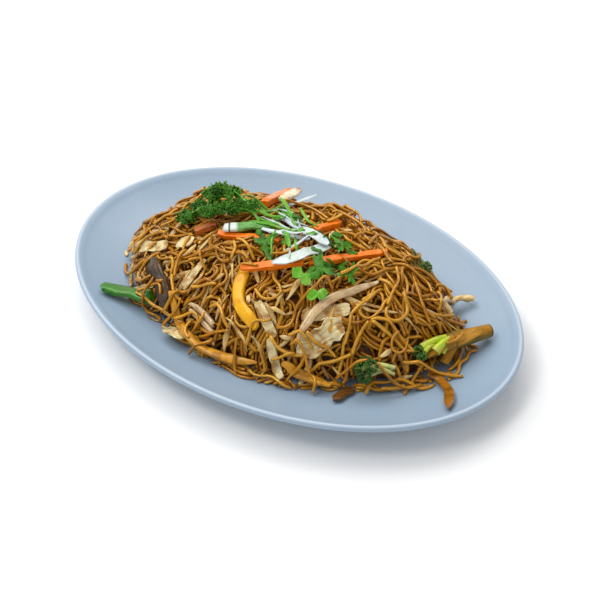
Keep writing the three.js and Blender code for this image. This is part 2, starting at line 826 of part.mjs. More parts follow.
// The plan of one noodle: it starts at a point and wanders, its bend swinging to and fro.
function noodlePlan([x, y], heading, length) {
  const swing = between(0.05, 0.11);
  const beat = between(0.11, 0.2);
  const phase = between(0, 2 * Math.PI);
  const steps = Math.round(length / NOODLE.step);
  const points = [];
  let direction = heading;
  for (let i = 0; i <= steps; i++) {
    points.push([x, y]);
    direction += NOODLE.step * swing * Math.sin(phase + i * NOODLE.step * beat);
    x += NOODLE.step * Math.cos(direction);
    y += NOODLE.step * Math.sin(direction);
  }
  return points;
}

// The longest stretch of a plan that is clear of the pieces and does not stray too far off the heap.
function clearStretch(points, furthest = 1.04) {
  const radius = NOODLE.diameter / 2;
  let best = [];
  let run = [];
  for (const [x, y] of points) {
    const [share] = heapPolar(x, y);
    const top = ground(x, y) + 2 * radius;
    const blockedHere = touchesPiece(x, y, Math.ceil(radius + NOODLE.step / 2), top);
    run = blockedHere || share > furthest ? [] : [...run, [x, y]];
    if (run.length > best.length) best = run;
  }
  return best;
}

function noodleGeometry(points) {
  const radius = NOODLE.diameter / 2;
  const centres = points.map(([x, y]) => {
    const onCore = coreTop(x, y) + radius * 0.3;
    const onPlate = plateTop(x, y) + radius + UNDER_GAP;
    return new THREE.Vector3(x, y, Math.max(onCore, onPlate));
  });
  const rings = centres.map((centre, i) => {
    const ahead = centres[Math.min(i + 1, centres.length - 1)];
    const behind = centres[Math.max(i - 1, 0)];
    const forward = ahead.clone().sub(behind).normalize();
    const side = forward.clone().cross(groundNormal(centre.x, centre.y)).normalize();
    const up = side.clone().cross(forward);
    return circle(centre, side, up, radius, NOODLE.sides, 0.5);
  });
  return facingOut(loftSolid(rings));
}

// Noodles that stray from the heap onto the platter, as points of the plan.
const STRAYS = [
  [[113, -4], [120, 0], [127, 4], [132, 2], [137, 5]],
  [[125, 23], [129, 13], [125, 3]],
  [[98, -38], [109, -34], [118, -28], [122, -20]],
  [[90, 39], [94, 47], [104, 45]],
  [[-96, -42], [-104, -48], [-112, -46], [-116, -38]],
  [[-118, 8], [-130, 16], [-134, 26], [-126, 34]],
  [[20, 76], [34, 84], [50, 84], [62, 76]],
];

// The noodles start evenly spread over the heap, by the golden angle. Of several headings each takes the one
// that runs furthest over heap that is still bare.
function noodlePlans() {
  const cell = (x, y) => `${Math.round(x / 7)},${Math.round(y / 7)}`;
  const covered = new Set();
  const plans = [];
  for (let i = 0; i < NOODLE.count; i++) {
    const start = heapPoint(Math.sqrt((i + 0.5) / NOODLE.count) * 0.96, i * Math.PI * (3 - Math.sqrt(5)));
    let best = [];
    let most = 0;
    for (let tries = 0; tries < 10; tries++) {
      const stretch = clearStretch(noodlePlan(start, between(0, 2 * Math.PI), NOODLE.length));
      const bare = stretch.filter(([x, y]) => !covered.has(cell(x, y))).length;
      if (bare > most) [best, most] = [stretch, bare];
    }
    for (const [x, y] of best) covered.add(cell(x, y));
    if (best.length > 3) plans.push(best);
  }
  return plans;
}

function strayPlan(points) {
  const curve = new THREE.SplineCurve(points.map(([x, y]) => new THREE.Vector2(x, y)));
  const steps = Math.round(curve.getLength() / NOODLE.step);
  return clearStretch(curve.getSpacedPoints(steps).map(({ x, y }) => [x, y]), 1.3);
}

function noodleHeap() {
  let heap = fused([coreGeometry(), ...CLUMPS.map(clumpGeometry)]);
  for (const plan of [...STRAYS.map(strayPlan), ...noodlePlans()]) {
    if (plan.length > 2) heap = heap.add(toManifold(noodleGeometry(plan)));
  }
  return fromManifold(mainBody(heap));
}

// ---------------------------------------------------------------- the whole dish

add("plate", settle(plateGeometry(), false), "porcelain", 0.2);
settle(coreGeometry(), false);
for (const along of CLUMPS) settle(clumpGeometry(along), false);
const blocked = [toManifold(coreGeometry(GAP)), toManifold(plateGeometry()).translate([0, 0, 0.4])];
for (const { name, colour, along, shape } of PIECES) add(name, laidStrip(along, shape), colour);
add("broccoli_stalk", stalkGeometry(blocked), "stalk");
for (const [name, shape] of FLORETS) add(name, floretGeometry(shape, blocked), "broccoli", 0.7);
for (const [name, shape] of LEAVES) add(name, laidLeaf(shape), "leaf");
add("parsley_sprig", parsleyGeometry(blocked), "parsley", 0.6);
add("noodle_heap", noodleHeap(), "noodle");

export default made;
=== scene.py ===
# %% [markdown]
# Stir-fried noodles heaped on an oval coupe platter. The frame brings in the plain solids. This script
# dresses them: a glazed platter, some twelve hundred single noodles laid one over another, and each
# vegetable modelled straight on the bench, as by hand, and then laid along the line that its solid follows.

import math

import bpy
import numpy as np
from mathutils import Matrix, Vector
from mathutils.bvhtree import BVHTree


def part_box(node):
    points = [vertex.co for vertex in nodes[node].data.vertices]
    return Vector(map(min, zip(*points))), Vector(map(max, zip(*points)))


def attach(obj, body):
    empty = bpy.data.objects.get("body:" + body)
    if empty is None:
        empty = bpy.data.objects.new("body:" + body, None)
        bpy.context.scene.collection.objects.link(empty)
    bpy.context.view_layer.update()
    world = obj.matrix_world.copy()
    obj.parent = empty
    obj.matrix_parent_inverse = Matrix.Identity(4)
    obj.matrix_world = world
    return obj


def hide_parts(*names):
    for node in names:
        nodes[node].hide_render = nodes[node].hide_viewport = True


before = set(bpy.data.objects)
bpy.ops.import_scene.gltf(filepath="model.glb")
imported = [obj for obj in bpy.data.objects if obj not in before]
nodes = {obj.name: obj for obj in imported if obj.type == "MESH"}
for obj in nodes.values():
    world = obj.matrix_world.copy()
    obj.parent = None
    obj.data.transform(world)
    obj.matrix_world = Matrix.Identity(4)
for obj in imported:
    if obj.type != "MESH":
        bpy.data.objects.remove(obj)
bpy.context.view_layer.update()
MM = 0.001
print("CAD nodes:", len(nodes))

# %% [markdown]
# Operators act on whatever is selected, so each piece starts from an empty selection. These helpers add a
# straight bar along X, cut it into rings and read or write its points all at once. Cutting is done by
# selecting the edges that run one way and subdividing them, which is what a loop cut does by hand.

# %% Helpers for modelling
def start_fresh():
    if bpy.context.mode != "OBJECT":
        bpy.ops.object.mode_set(mode="OBJECT")
    bpy.ops.object.select_all(action="DESELECT")


def take_up(piece):
    """Makes a piece the one that operators act on."""
    start_fresh()
    bpy.context.view_layer.objects.active = piece
    piece.select_set(True)


def points_of(piece):
    points = np.empty(len(piece.data.vertices) * 3)
    piece.data.vertices.foreach_get("co", points)
    return points.reshape(-1, 3)


def move_points(piece, points):
    piece.data.vertices.foreach_set("co", np.ascontiguousarray(points).ravel())
    piece.data.update()


def select_edges(piece, wanted):
    """Selects, in edit mode, the edges whose two ends pass a test."""
    bpy.ops.object.mode_set(mode="EDIT")
    bpy.ops.mesh.select_mode(type="EDGE")
    bpy.ops.mesh.select_all(action="DESELECT")
    bpy.ops.object.mode_set(mode="OBJECT")
    points = points_of(piece)
    for edge in piece.data.edges:
        edge.select = bool(wanted(*points[list(edge.vertices)]))
    bpy.ops.object.mode_set(mode="EDIT")


def runs_along(axis):
    """A test for edges that run along one axis."""
    return lambda a, b: abs(a[axis] - b[axis]) > 0.99 * np.linalg.norm(a - b)


def bar(name, length, width, thick, rings, across=3, through=1):
    """A box along X from 0 to its length, cut into rings along it, across it and through it. In mm."""
    start_fresh()
    bpy.ops.mesh.primitive_cube_add(size=1, location=(0, 0, 0))
    piece = bpy.context.object
    piece.name = name
    bpy.ops.object.mode_set(mode="EDIT")
    bpy.ops.mesh.select_all(action="SELECT")
    bpy.ops.transform.resize(value=(length, width, thick), center_override=(0, 0, 0))
    bpy.ops.transform.translate(value=(length / 2, 0, 0))
    for axis, cuts in ((0, rings), (1, across), (2, through)):
        if cuts > 0:
            select_edges(piece, runs_along(axis))
            bpy.ops.mesh.subdivide(number_cuts=cuts)
    bpy.ops.object.mode_set(mode="OBJECT")
    return piece


def apply_modifier(piece, kind, **settings):
    take_up(piece)
    modifier = piece.modifiers.new(kind.title(), kind)
    for key, value in settings.items():
        setattr(modifier, key, value)
    bpy.ops.object.modifier_apply(modifier=modifier.name)


def smooth(piece, angle=60):
    take_up(piece)
    bpy.ops.object.shade_smooth_by_angle(angle=math.radians(angle))


def wobble(points, size, seed=0.0):
    """A smooth uneven value from -1 to 1 for each point, with swells of about the given size."""
    x, y, z = (points / size).T
    a = np.sin(x * 1.7 + y * 2.3 + seed) + np.sin(y * 1.9 - z * 2.1 + 2.7 * seed)
    b = np.sin(z * 2.6 + x * 1.3 - 1.3 * seed) + np.sin((x - y + z) * 1.1 + 0.7 * seed)
    return (a + b) / 4


# %% [markdown]
# The platter and the mound are described by the same named sizes as the solids: an oval rim, a curved flank
# and a mound whose outline wavers. Written with numpy, one call gives the height of thousands of points.

# %% The shape of the ground, in millimetres
LENGTH, WIDTH, HEIGHT = 340, 238, 25.6
WELL, SLOPE, RISE, LIP, WALL = 6, 62, 20.4, 2.1, 4.3
HEAP_X, HEAP_Y, HEAP_TURN = -4, 3, math.radians(4.5)
CROWN, EDGE = 2.2, 0.67


def oval_at(inset):
    a, b = LENGTH / 2, WIDTH / 2
    return a - inset, b - inset * (1 - (1 - b / a) * (inset / a))


def flank_height(inset):
    return WELL + RISE * np.maximum(0, 1 - inset / SLOPE) ** 2


def plate_top(x, y):
    near, far = np.zeros_like(x), np.full_like(x, LENGTH / 2 - 1e-6)
    for _ in range(24):
        middle = (near + far) / 2
        a, b = oval_at(middle)
        inside = (x / a) ** 2 + (y / b) ** 2 < 1
        near, far = np.where(inside, middle, near), np.where(inside, far, middle)
    return flank_height(near)


def heap_polar(x, y, half_length, half_width):
    """A point of the plan as share of the mound's radius, and the direction it lies in."""
    dx, dy = x - HEAP_X, y - HEAP_Y
    u = (dx * math.cos(HEAP_TURN) + dy * math.sin(HEAP_TURN)) / half_length
    v = (-dx * math.sin(HEAP_TURN) + dy * math.cos(HEAP_TURN)) / half_width
    angle = np.arctan2(v, u)
    waver = np.sin(3 * angle + 0.6) + 0.7 * np.sin(5 * angle + 2.1) + 0.5 * np.sin(8 * angle)
    return np.hypot(u, v) / (1 + 0.022 * waver), angle


def mound(x, y, half_length, half_width, height):
    """Height of a mound of noodles above the platter."""
    share = heap_polar(x, y, half_length, half_width)[0]
    lumps = np.sin(x / 11 + 1) * np.cos(y / 9) + 0.6 * np.sin(x / 6.5 - y / 8)
    fade = np.clip((1 - share) * 4, 0, 1)
    rise = height * np.maximum(0, 1 - np.minimum(share, 1) ** CROWN) ** EDGE
    return np.where(share < 1, rise + 1.3 * lumps * fade, 0)


SOLID = (126.5, 76.5, 55)
OUTER = (129.5, 80, 57)
CORE = (118.5, 70.5, 47)


def ground(x, y):
    return plate_top(x, y) + 0.6 + mound(x, y, *SOLID)


def ground_normal(x, y, reach=3.0):
    dx = (ground(x + reach, y) - ground(x - reach, y)) / (2 * reach)
    dy = (ground(x, y + reach) - ground(x, y - reach)) / (2 * reach)
    normal = np.stack([-dx, -dy, np.ones_like(dx)], -1)
    return normal / np.linalg.norm(normal, axis=-1, keepdims=True)


print("top of the mound, mm:", round(float(ground(np.array([0.0]), np.array([0.0]))[0]), 1))

# %% [markdown]
# A coupe platter has no separate rim: one curve sweeps from the flat well to a rolled edge. It could be a
# lathe shape, but an oval can't be spun. So a circle is extruded ring by ring along the profile, and each
# new ring is stretched to its own half axes, which is how a potter's template works.

# %% The platter
def plate_profile():
    lip_turns = [math.radians(d) for d in (125, 105, 85, 65, 45, 20, 0, -25, -50, -75)]
    flank = [(i, float(flank_height(i))) for i in (62, 56, 49, 42, 35, 29, 23, 18, 13.5, 9.5, 6.5)]
    edge = [(LIP - LIP * math.cos(t), HEIGHT - LIP + LIP * math.sin(t)) for t in lip_turns]
    outside = [(i, float(flank_height(i)) - WALL) for i in (8, 13, 18, 24, 31, 38, 45, 51)]
    foot = [(55.5, 1.8), (56.5, 0.9), (57, 0.2), (57.8, 0), (62.2, 0), (63, 0.2), (63.5, 0.9), (64.5, 1.7)]
    return flank + edge[1:] + outside + foot


def extrude_ring(before, after):
    """One more ring: the selected loop is extruded upwards and stretched to the next half axes."""
    (a0, b0), (a1, b1) = oval_at(before[0]), oval_at(after[0])
    rise = (after[1] - before[1]) * MM
    bpy.ops.mesh.extrude_region_move(TRANSFORM_OT_translate={"value": (0, 0, rise)})
    bpy.ops.transform.resize(value=(a1 / a0, b1 / b0, 1), center_override=(0, 0, after[1] * MM))


def make_plate():
    profile = plate_profile()
    a, b = oval_at(profile[0][0])
    start_fresh()
    bpy.ops.mesh.primitive_circle_add(vertices=208, radius=1, location=(0, 0, 0))
    plate = bpy.context.object
    plate.name = "glazed_platter"
    bpy.ops.object.mode_set(mode="EDIT")
    bpy.ops.mesh.select_mode(type="EDGE")
    bpy.ops.mesh.select_all(action="SELECT")
    bpy.ops.transform.resize(value=(a * MM, b * MM, 1), center_override=(0, 0, 0))
    bpy.ops.transform.translate(value=(0, 0, profile[0][1] * MM))
    for before, after in zip(profile, profile[1:]):
        extrude_ring(before, after)
    for share in (0.8, 0.6, 0.4, 0.2):
        factor = share / min(1, share + 0.2)
        bpy.ops.mesh.extrude_region_move(TRANSFORM_OT_translate={"value": (0, 0, 0)})
        bpy.ops.transform.resize(value=(factor, factor, 1), center_override=(0, 0, profile[-1][1] * MM))
    bpy.ops.mesh.edge_face_add()
    bpy.ops.mesh.poke()
    bpy.ops.mesh.select_all(action="DESELECT")
    bpy.ops.mesh.select_non_manifold()
    for share in (0.8, 0.6, 0.4, 0.2):
        factor = share / min(1, share + 0.2)
        bpy.ops.mesh.extrude_region_move(TRANSFORM_OT_translate={"value": (0, 0, 0)})
        bpy.ops.transform.resize(value=(factor, factor, 1), center_override=(0, 0, WELL * MM))
    bpy.ops.mesh.edge_face_add()
    bpy.ops.mesh.poke()
    bpy.ops.mesh.select_all(action="SELECT")
    bpy.ops.mesh.normals_make_consistent(inside=False)
    bpy.ops.object.mode_set(mode="OBJECT")
    smooth(plate, 50)
    return plate


plate = make_plate()
print("platter faces:", len(plate.data.polygons), "size mm:", [round(s * 1000, 1) for s in plate.dimensions])

# %% [markdown]
# Everything that lies on the platter is kept in height maps: how high the ground reaches at each half
# millimetre, and how low the undersides of the vegetables come. The maps are read off the CAD nodes with
# rays, so each piece made here rests where its solid rests.

# %% Height maps
CELL = 0.5
AXIS_X = np.arange(-175, 175.1, CELL)
AXIS_Y = np.arange(-125, 125.1, CELL)
GRID_X, GRID_Y = np.meshgrid(AXIS_X, AXIS_Y)
plate_map = plate_top(GRID_X, GRID_Y)
edge_share, edge_angle = heap_polar(GRID_X, GRID_Y, *OUTER[:2])
toward_diner = np.clip(np.cos(edge_angle + 1.2), 0, 1)
hollows = np.sin(GRID_X / 5.1 + 1.3 * np.sin(GRID_Y / 7.3)) * np.sin(
    GRID_Y / 4.7 + 1.1 * np.sin(GRID_X / 9.2) + 1
)
hollows = 0.9 * hollows - 2.6 * np.clip(hollows - 0.62, 0, 1)
outer_map = plate_map + np.maximum(
    mound(GRID_X, GRID_Y, *OUTER) + hollows * np.clip((1 - edge_share) * 6, 0, 1), 0
)
skirt_end = 1.03 + 0.05 * toward_diner
skirt = (3.6 + 2.6 * toward_diner) * np.clip((skirt_end - edge_share) / 0.06, 0, 1) ** 0.5
outer_map = np.maximum(outer_map, plate_map + skirt)
relief = plate_map + np.maximum(mound(GRID_X, GRID_Y, *CORE), 0)
roof = np.full_like(relief, 1000.0)
piece_tops = np.zeros_like(relief)


def cell_of(x, y):
    column = np.clip(np.rint((x - AXIS_X[0]) / CELL).astype(int), 8, len(AXIS_X) - 9)
    row = np.clip(np.rint((y - AXIS_Y[0]) / CELL).astype(int), 8, len(AXIS_Y) - 9)
    return row, column


def ray_tree(node):
    mesh = nodes[node].data
    corners = [v.co for v in mesh.vertices]
    return BVHTree.FromPolygons(corners, [p.vertices for p in mesh.polygons])


def map_piece(node):
    tree = ray_tree(node)
    low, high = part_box(node)
    row0, column0 = cell_of(np.array([low.x / MM]), np.array([low.y / MM]))
    row1, column1 = cell_of(np.array([high.x / MM]), np.array([high.y / MM]))
    for row in range(int(row0[0]), int(row1[0]) + 1):
        for column in range(int(column0[0]), int(column1[0]) + 1):
            x, y = AXIS_X[column] * MM, AXIS_Y[row] * MM
            above = tree.ray_cast(Vector((x, y, 0.2)), Vector((0, 0, -1)))[0]
            if above is None:
                continue
            below = tree.ray_cast(Vector((x, y, -0.01)), Vector((0, 0, 1)))[0]
            piece_tops[row, column] = max(piece_tops[row, column], above.z / MM)
            roof[row, column] = min(roof[row, column], (below or above).z / MM)


toppings = [name for name in nodes if name not in ("plate", "noodle_heap")]
for name in toppings:
    map_piece(name)
print(
    "pieces mapped:", len(toppings), "covering",
    round(float((piece_tops > 0).mean() * 100), 1), "% of the map",
)

# %% [markdown]
# Food looks dull in a single colour. Each finish mixes a light and a dark tone by two patterns: one of fine
# streaks that run along the piece, read from the numbers stored at its points, and one of blotches in
# space. Both are built once as node groups, and every finish places them with its own values.

# %% Shared patterns
def group_with(name, inputs, outputs):
    group = bpy.data.node_groups.new(name, "ShaderNodeTree")
    for label, kind, value in inputs:
        socket = group.interface.new_socket(label, in_out="INPUT", socket_type=kind)
        if value is not None:
            socket.default_value = value
    for label, kind in outputs:
        group.interface.new_socket(label, in_out="OUTPUT", socket_type=kind)
    return group, group.nodes.new("NodeGroupInput"), group.nodes.new("NodeGroupOutput")


def math_node(tree, kind, a, b=None, clamp=False):
    """The output of a maths node on two values, each a number or another node's output."""
    node = tree.nodes.new("ShaderNodeMath")
    node.operation, node.use_clamp = kind, clamp
    for index, value in enumerate((a, b)):
        if value is None:
            continue
        if isinstance(value, (int, float)):
            node.inputs[index].default_value = value
        else:
            tree.links.new(value, node.inputs[index])
    return node.outputs[0]


def make_streaks():
    """Fine streaks along a piece, from its own along and across numbers."""
    group, inside, out = group_with(
        "streaks along", [("Fineness", "NodeSocketFloat", 3.0), ("Stretch", "NodeSocketFloat", 0.12)],
        [("Streak", "NodeSocketFloat")],
    )
    along, across = group.nodes.new("ShaderNodeAttribute"), group.nodes.new("ShaderNodeAttribute")
    along.attribute_name, across.attribute_name = "along", "across"
    place = group.nodes.new("ShaderNodeCombineXYZ")
    links = group.links
    for number, (axis, amount) in enumerate(((along, "Stretch"), (across, "Fineness"))):
        drawn_out = math_node(group, "MULTIPLY", axis.outputs["Fac"], inside.outputs[amount])
        links.new(drawn_out, place.inputs[number])
    noise = group.nodes.new("ShaderNodeTexNoise")
    noise.inputs["Scale"].default_value = 1.6
    noise.inputs["Detail"].default_value = 3
    links.new(place.outputs[0], noise.inputs["Vector"])
    links.new(noise.outputs["Fac"], out.inputs["Streak"])
    return group


def make_blotches():
    """Uneven patches in space, of the given number to the metre."""
    group, inside, out = group_with(
        "blotches", [("Per Metre", "NodeSocketFloat", 200.0), ("Sharpness", "NodeSocketFloat", 2.5)],
        [("Blotch", "NodeSocketFloat")],
    )
    place = group.nodes.new("ShaderNodeTexCoord")
    noise = group.nodes.new("ShaderNodeTexNoise")
    noise.inputs["Detail"].default_value = 4
    links = group.links
    links.new(place.outputs["Object"], noise.inputs["Vector"])
    links.new(inside.outputs["Per Metre"], noise.inputs["Scale"])
    centred = math_node(group, "SUBTRACT", noise.outputs["Fac"], 0.5)
    scaled = math_node(group, "MULTIPLY", centred, inside.outputs["Sharpness"])
    links.new(math_node(group, "ADD", scaled, 0.5, clamp=True), out.inputs["Blotch"])
    return group


STREAKS, BLOTCHES = make_streaks(), make_blotches()

# %% [markdown]
# One function lays out every food finish: tones, stain, gloss and relief. The wet look of stir-fried food
# comes from a thin coat over a softer surface, and a little light that enters the flesh and comes out
# again.

# %% Food finishes
def placed(tree, group, **values):
    node = tree.nodes.new("ShaderNodeGroup")
    node.node_tree = group
    for key, value in values.items():
        node.inputs[key.replace("_", " ")].default_value = value
    return node.outputs[0]


def mixed(tree, factor, a, b, blend="MIX"):
    """Colour a turning into colour b by a factor. Each may be a colour or another node's output."""
    node = tree.nodes.new("ShaderNodeMix")
    node.data_type, node.blend_type = "RGBA", blend
    for socket, value in ((node.inputs[0], factor), (node.inputs[6], a), (node.inputs[7], b)):
        if isinstance(value, (int, float)):
            socket.default_value = value
        elif isinstance(value, tuple):
            socket.default_value = (*value, 1)
        else:
            tree.links.new(value, socket)
    return node.outputs[2]


def stepped(tree, value, low, high):
    """The value spread from 0 at low to 1 at high."""
    node = tree.nodes.new("ShaderNodeMapRange")
    tree.links.new(value, node.inputs["Value"])
    node.inputs["From Min"].default_value = low
    node.inputs["From Max"].default_value = high
    return node.outputs["Result"]


def attribute_of(tree, name):
    node = tree.nodes.new("ShaderNodeAttribute")
    node.attribute_name = name
    return node.outputs["Fac"]


def linear(red, green, blue):
    """A screen colour of 0 to 255 as the shader wants it."""
    return tuple(
        ((c / 255 + 0.055) / 1.055) ** 2.4 if c > 10 else c / 255 / 12.92 for c in (red, green, blue)
    )


def blank_material(name, rough, coat=0.0, glow=0.0, glow_colour=(1, 0.5, 0.2), oil=(1, 1, 1)):
    material = bpy.data.materials.new(name)
    material.use_nodes = True
    shader = material.node_tree.nodes["Principled BSDF"]
    shader.inputs["Roughness"].default_value = rough
    shader.inputs["Coat Weight"].default_value = coat
    shader.inputs["Coat Roughness"].default_value = 0.12
    shader.inputs["Subsurface Weight"].default_value = glow
    shader.inputs["Subsurface Radius"].default_value = glow_colour
    shader.inputs["Subsurface Scale"].default_value = 0.0015
    shader.inputs["Specular Tint"].default_value = (*oil, 1)
    return material, material.node_tree, shader


def vary_gloss(tree, shader, pattern, low_end, high_end):
    """Roughness that runs between two values with a pattern."""
    gloss = tree.nodes.new("ShaderNodeMapRange")
    tree.links.new(pattern, gloss.inputs["Value"])
    gloss.inputs["To Min"].default_value = low_end
    gloss.inputs["To Max"].default_value = high_end
    tree.links.new(gloss.outputs["Result"], shader.inputs["Roughness"])


def relief_from(tree, shader, height, depth):
    bump = tree.nodes.new("ShaderNodeBump")
    bump.inputs["Strength"].default_value = 0.58
    bump.inputs["Distance"].default_value = depth * MM
    tree.links.new(height, bump.inputs["Height"])
    tree.links.new(bump.outputs["Normal"], shader.inputs["Normal"])


def food(
    name, light, dark, stain, stained=0.4, rough=0.38, coat=0.35, glow=0.15, size=260, fine=4.0, depth=0.25
):
    """A food finish from three screen colours: light flesh, dark flesh and what stains it."""
    light, dark, stain = (linear(*screen) for screen in (light, dark, stain))
    oil = tuple(0.45 + 0.55 * c / max(light) for c in light)
    material, tree, shader = blank_material(name, rough, coat, glow, light, oil)
    streak = placed(tree, STREAKS, Fineness=fine)
    blotch = placed(tree, BLOTCHES, Per_Metre=size, Sharpness=2.6)
    spots = placed(tree, BLOTCHES, Per_Metre=110.0, Sharpness=4.0)
    flesh = mixed(tree, stepped(tree, streak, 0.35, 0.65), dark, light)
    flesh = mixed(tree, stepped(tree, blotch, 0.1, 1.0), flesh, light)
    shade = math_node(tree, "MULTIPLY", attribute_of(tree, "tint"), 0.6)
    flesh = mixed(tree, shade, flesh, dark)
    amount = math_node(tree, "MULTIPLY", stepped(tree, spots, 0.45, 0.95), stained)
    tree.links.new(mixed(tree, amount, flesh, stain), shader.inputs["Base Color"])
    vary_gloss(tree, shader, blotch, rough + 0.14, rough - 0.1)
    relief_from(tree, shader, math_node(tree, "ADD", streak, blotch), depth)
    return material


SAUCE_BROWN = (120, 68, 10)
CARROT = food("raw carrot", (252, 134, 18), (238, 104, 6), (200, 88, 8), 0.35, 0.32, 0.2, 0.05 )
STEWED = food("stewed carrot", (190, 104, 36), (146, 68, 18), (92, 42, 10), 0.5, 0.36)
FINISHES = {
    "green_pepper": food("green pepper", (66, 134, 40), (34, 92, 22), (96, 84, 10), 0.4, 0.28, 0.4, 0.05 ),
    "sauce": food("pepper in sauce", (220, 158, 40), (184, 116, 14), SAUCE_BROWN, 0.6, 0.26, 0.3, 0.1 ),
    "browned": food("browned pepper", (176, 112, 24), (122, 74, 10), (84, 46, 6), 0.5, 0.26, 0.3, 0.08 ),
    "dark_tip": food("browned onion", (116, 74, 28), (70, 42, 14), (50, 28, 8), 0.6, 0.3, 0.3, 0.03 ),
    "red_onion": food(
        "red onion", (226, 198, 152), (154, 108, 54), (150, 96, 26), 0.5, 0.18,
        0.5, 0.04, 150, 7.0
    ),
    "yellow_pepper": food(
        "yellow pepper", (246, 186, 20), (226, 152, 6), (204, 126, 6), 0.4, 0.28,
        0.35, 0.08
    ),
    "pale": food(
        "fried cabbage", (240, 226, 176), (212, 178, 98), (172, 112, 20), 0.9,
        0.2, 0.45, 0.1, 200, 3.0
    ),
    "soaked": food(
        "cabbage in sauce", (238, 212, 148), (204, 160, 76), (156, 98, 16), 0.8,
        0.16, 0.5, 0.1, 260, 2.4
    ),
    "fried_onion": food(
        "fried onion", (206, 164, 96), (166, 112, 44), (134, 80, 14), 0.7, 0.22, 0.4, 0.08
    ),
    "white": food("white shreds", (222, 230, 232), (184, 200, 204), (176, 198, 140), 0.35, 0.3, 0.2, 0.08 ),
    "leaf": food("coriander", (78, 138, 24), (28, 88, 10), (14, 50, 6), 0.6, 0.46, 0.08, 0.04, 400 ),
    "bright_leaf": food(
        "bright leaf", (116, 190, 40), (44, 126, 22), (150, 200, 90), 0.5, 0.32,
        0.25, 0.05, 400
    ),
    # Parsley's stain colour is painted shade: near-black green spots stand in for the deep shade between the
    # frills.
    "parsley": food("parsley", (100, 164, 38), (16, 84, 10), (8, 48, 6), 0.6, 0.4, 0.1, 0.05, 500 ),
    "parsley_stem": food("parsley stem", (140, 190, 80), (84, 146, 40), (60, 116, 24), 0.4, 0.4 ),
    "broccoli": food("broccoli buds", (92, 134, 48), (24, 58, 18), (12, 30, 8), 0.5, 0.46, 0.1, 0.05, 900 ),
    "broccoli_stem": food(
        "broccoli stem", (222, 224, 150), (164, 180, 80), (150, 130, 30), 0.4, 0.3, 0.25
    ),
    "thin_stem": food("thin dark stem", (110, 110, 50), (70, 74, 30), (60, 44, 16), 0.5, 0.4, 0.1, 0.05 ),
    "bright_buds": food(
        "bright cut green", (196, 214, 50), (132, 168, 16), (188, 180, 80), 0.7,
        0.28, 0.3, 0.06, 300
    ),
    "mushroom": food("mushroom", (78, 54, 26), (34, 26, 20), (20, 17, 15), 0.9, 0.3, 0.35, 0.02, 120, 6.0 ),
}


def spring_onion_finish():
    """White at the root end, then a dark green ring and green stripes, by the share of its length."""
    material, tree, shader = blank_material("spring onion", 0.3, 0.25, 0.05, (0.6, 1, 0.5))
    share = attribute_of(tree, "share")
    stripe = stepped(tree, placed(tree, STREAKS, Fineness=7.0, Stretch=0.05), 0.4, 0.62)
    green = mixed(tree, stripe, linear(58, 130, 44), linear(132, 196, 96))
    pale = mixed(tree, stripe, linear(214, 224, 214), linear(242, 246, 240))
    colour = mixed(tree, stepped(tree, share, 0.26, 0.32), pale, green)
    off_ring = math_node(tree, "SUBTRACT", share, 0.14)
    ring = stepped(tree, math_node(tree, "ABSOLUTE", off_ring), 0.022, 0.012)
    tree.links.new(mixed(tree, ring, colour, linear(70, 80, 60)), shader.inputs["Base Color"])
    relief_from(tree, shader, stripe, 0.3)
    return material


def stalk_finish():
    """Amber inside, olive along both edges, with long fibres and a dark end where it was cut off."""
    material, tree, shader = blank_material("split stalk", 0.3, 0.15, 0.06, (1, 0.7, 0.2), (1, 0.8, 0.4))
    fibre = stepped(tree, placed(tree, STREAKS, Fineness=5.0, Stretch=0.06), 0.36, 0.64)
    spots = placed(tree, BLOTCHES, Per_Metre=150.0, Sharpness=3.0)
    colour = mixed(tree, fibre, linear(150, 90, 4), linear(204, 138, 16))
    colour = mixed(tree, math_node(tree, "MULTIPLY", spots, 0.5), colour, linear(140, 110, 8))
    side = math_node(tree, "ABSOLUTE", attribute_of(tree, "across"))
    colour = mixed(tree, stepped(tree, side, 0.55, 0.95), colour, linear(84, 84, 18))
    end = stepped(tree, attribute_of(tree, "share"), 0.05, 0.0)
    tree.links.new(mixed(tree, end, colour, linear(66, 44, 10)), shader.inputs["Base Color"])
    relief_from(tree, shader, fibre, 0.35)
    return material


FINISHES["spring_onion"] = spring_onion_finish()
FINISHES["stalk"] = stalk_finish()
print("food finishes:", len(FINISHES) + 2)

# %% [markdown]
# A strip of vegetable is modelled straight, as cut on the board, and then laid along the line that its
# solid follows on the heap. A Curve modifier bends a piece in the same way; doing it here lets the strip
# also lean with the slope it lies on. The plan of each line repeats the part's own, and its height comes
# from rays.

# %% Lines on the heap
def smooth_line(corners, count):
    """Points evenly along the smooth curve through the corners, in the plan."""
    corners = np.array(corners, float)
    last = len(corners) - 1
    out = []
    for i in range(last):
        p0, p1 = corners[max(i - 1, 0)], corners[i]
        p2, p3 = corners[i + 1], corners[min(i + 2, last)]
        t = np.linspace(0, 1, 30, endpoint=i == last - 1)[:, None]
        v0, v1 = (p2 - p0) / 2, (p3 - p1) / 2
        out.append((2 * p1 - 2 * p2 + v0 + v1) * t**3 + (3 * p2 - 3 * p1 - 2 * v0 - v1) * t**2 + v0 * t + p1)
    line = np.concatenate(out)
    along = np.concatenate([[0], np.cumsum(np.linalg.norm(np.diff(line, axis=0), axis=1))])
    spots = np.linspace(0, along[-1], count)
    return np.stack([np.interp(spots, along, line[:, k]) for k in (0, 1)], -1)


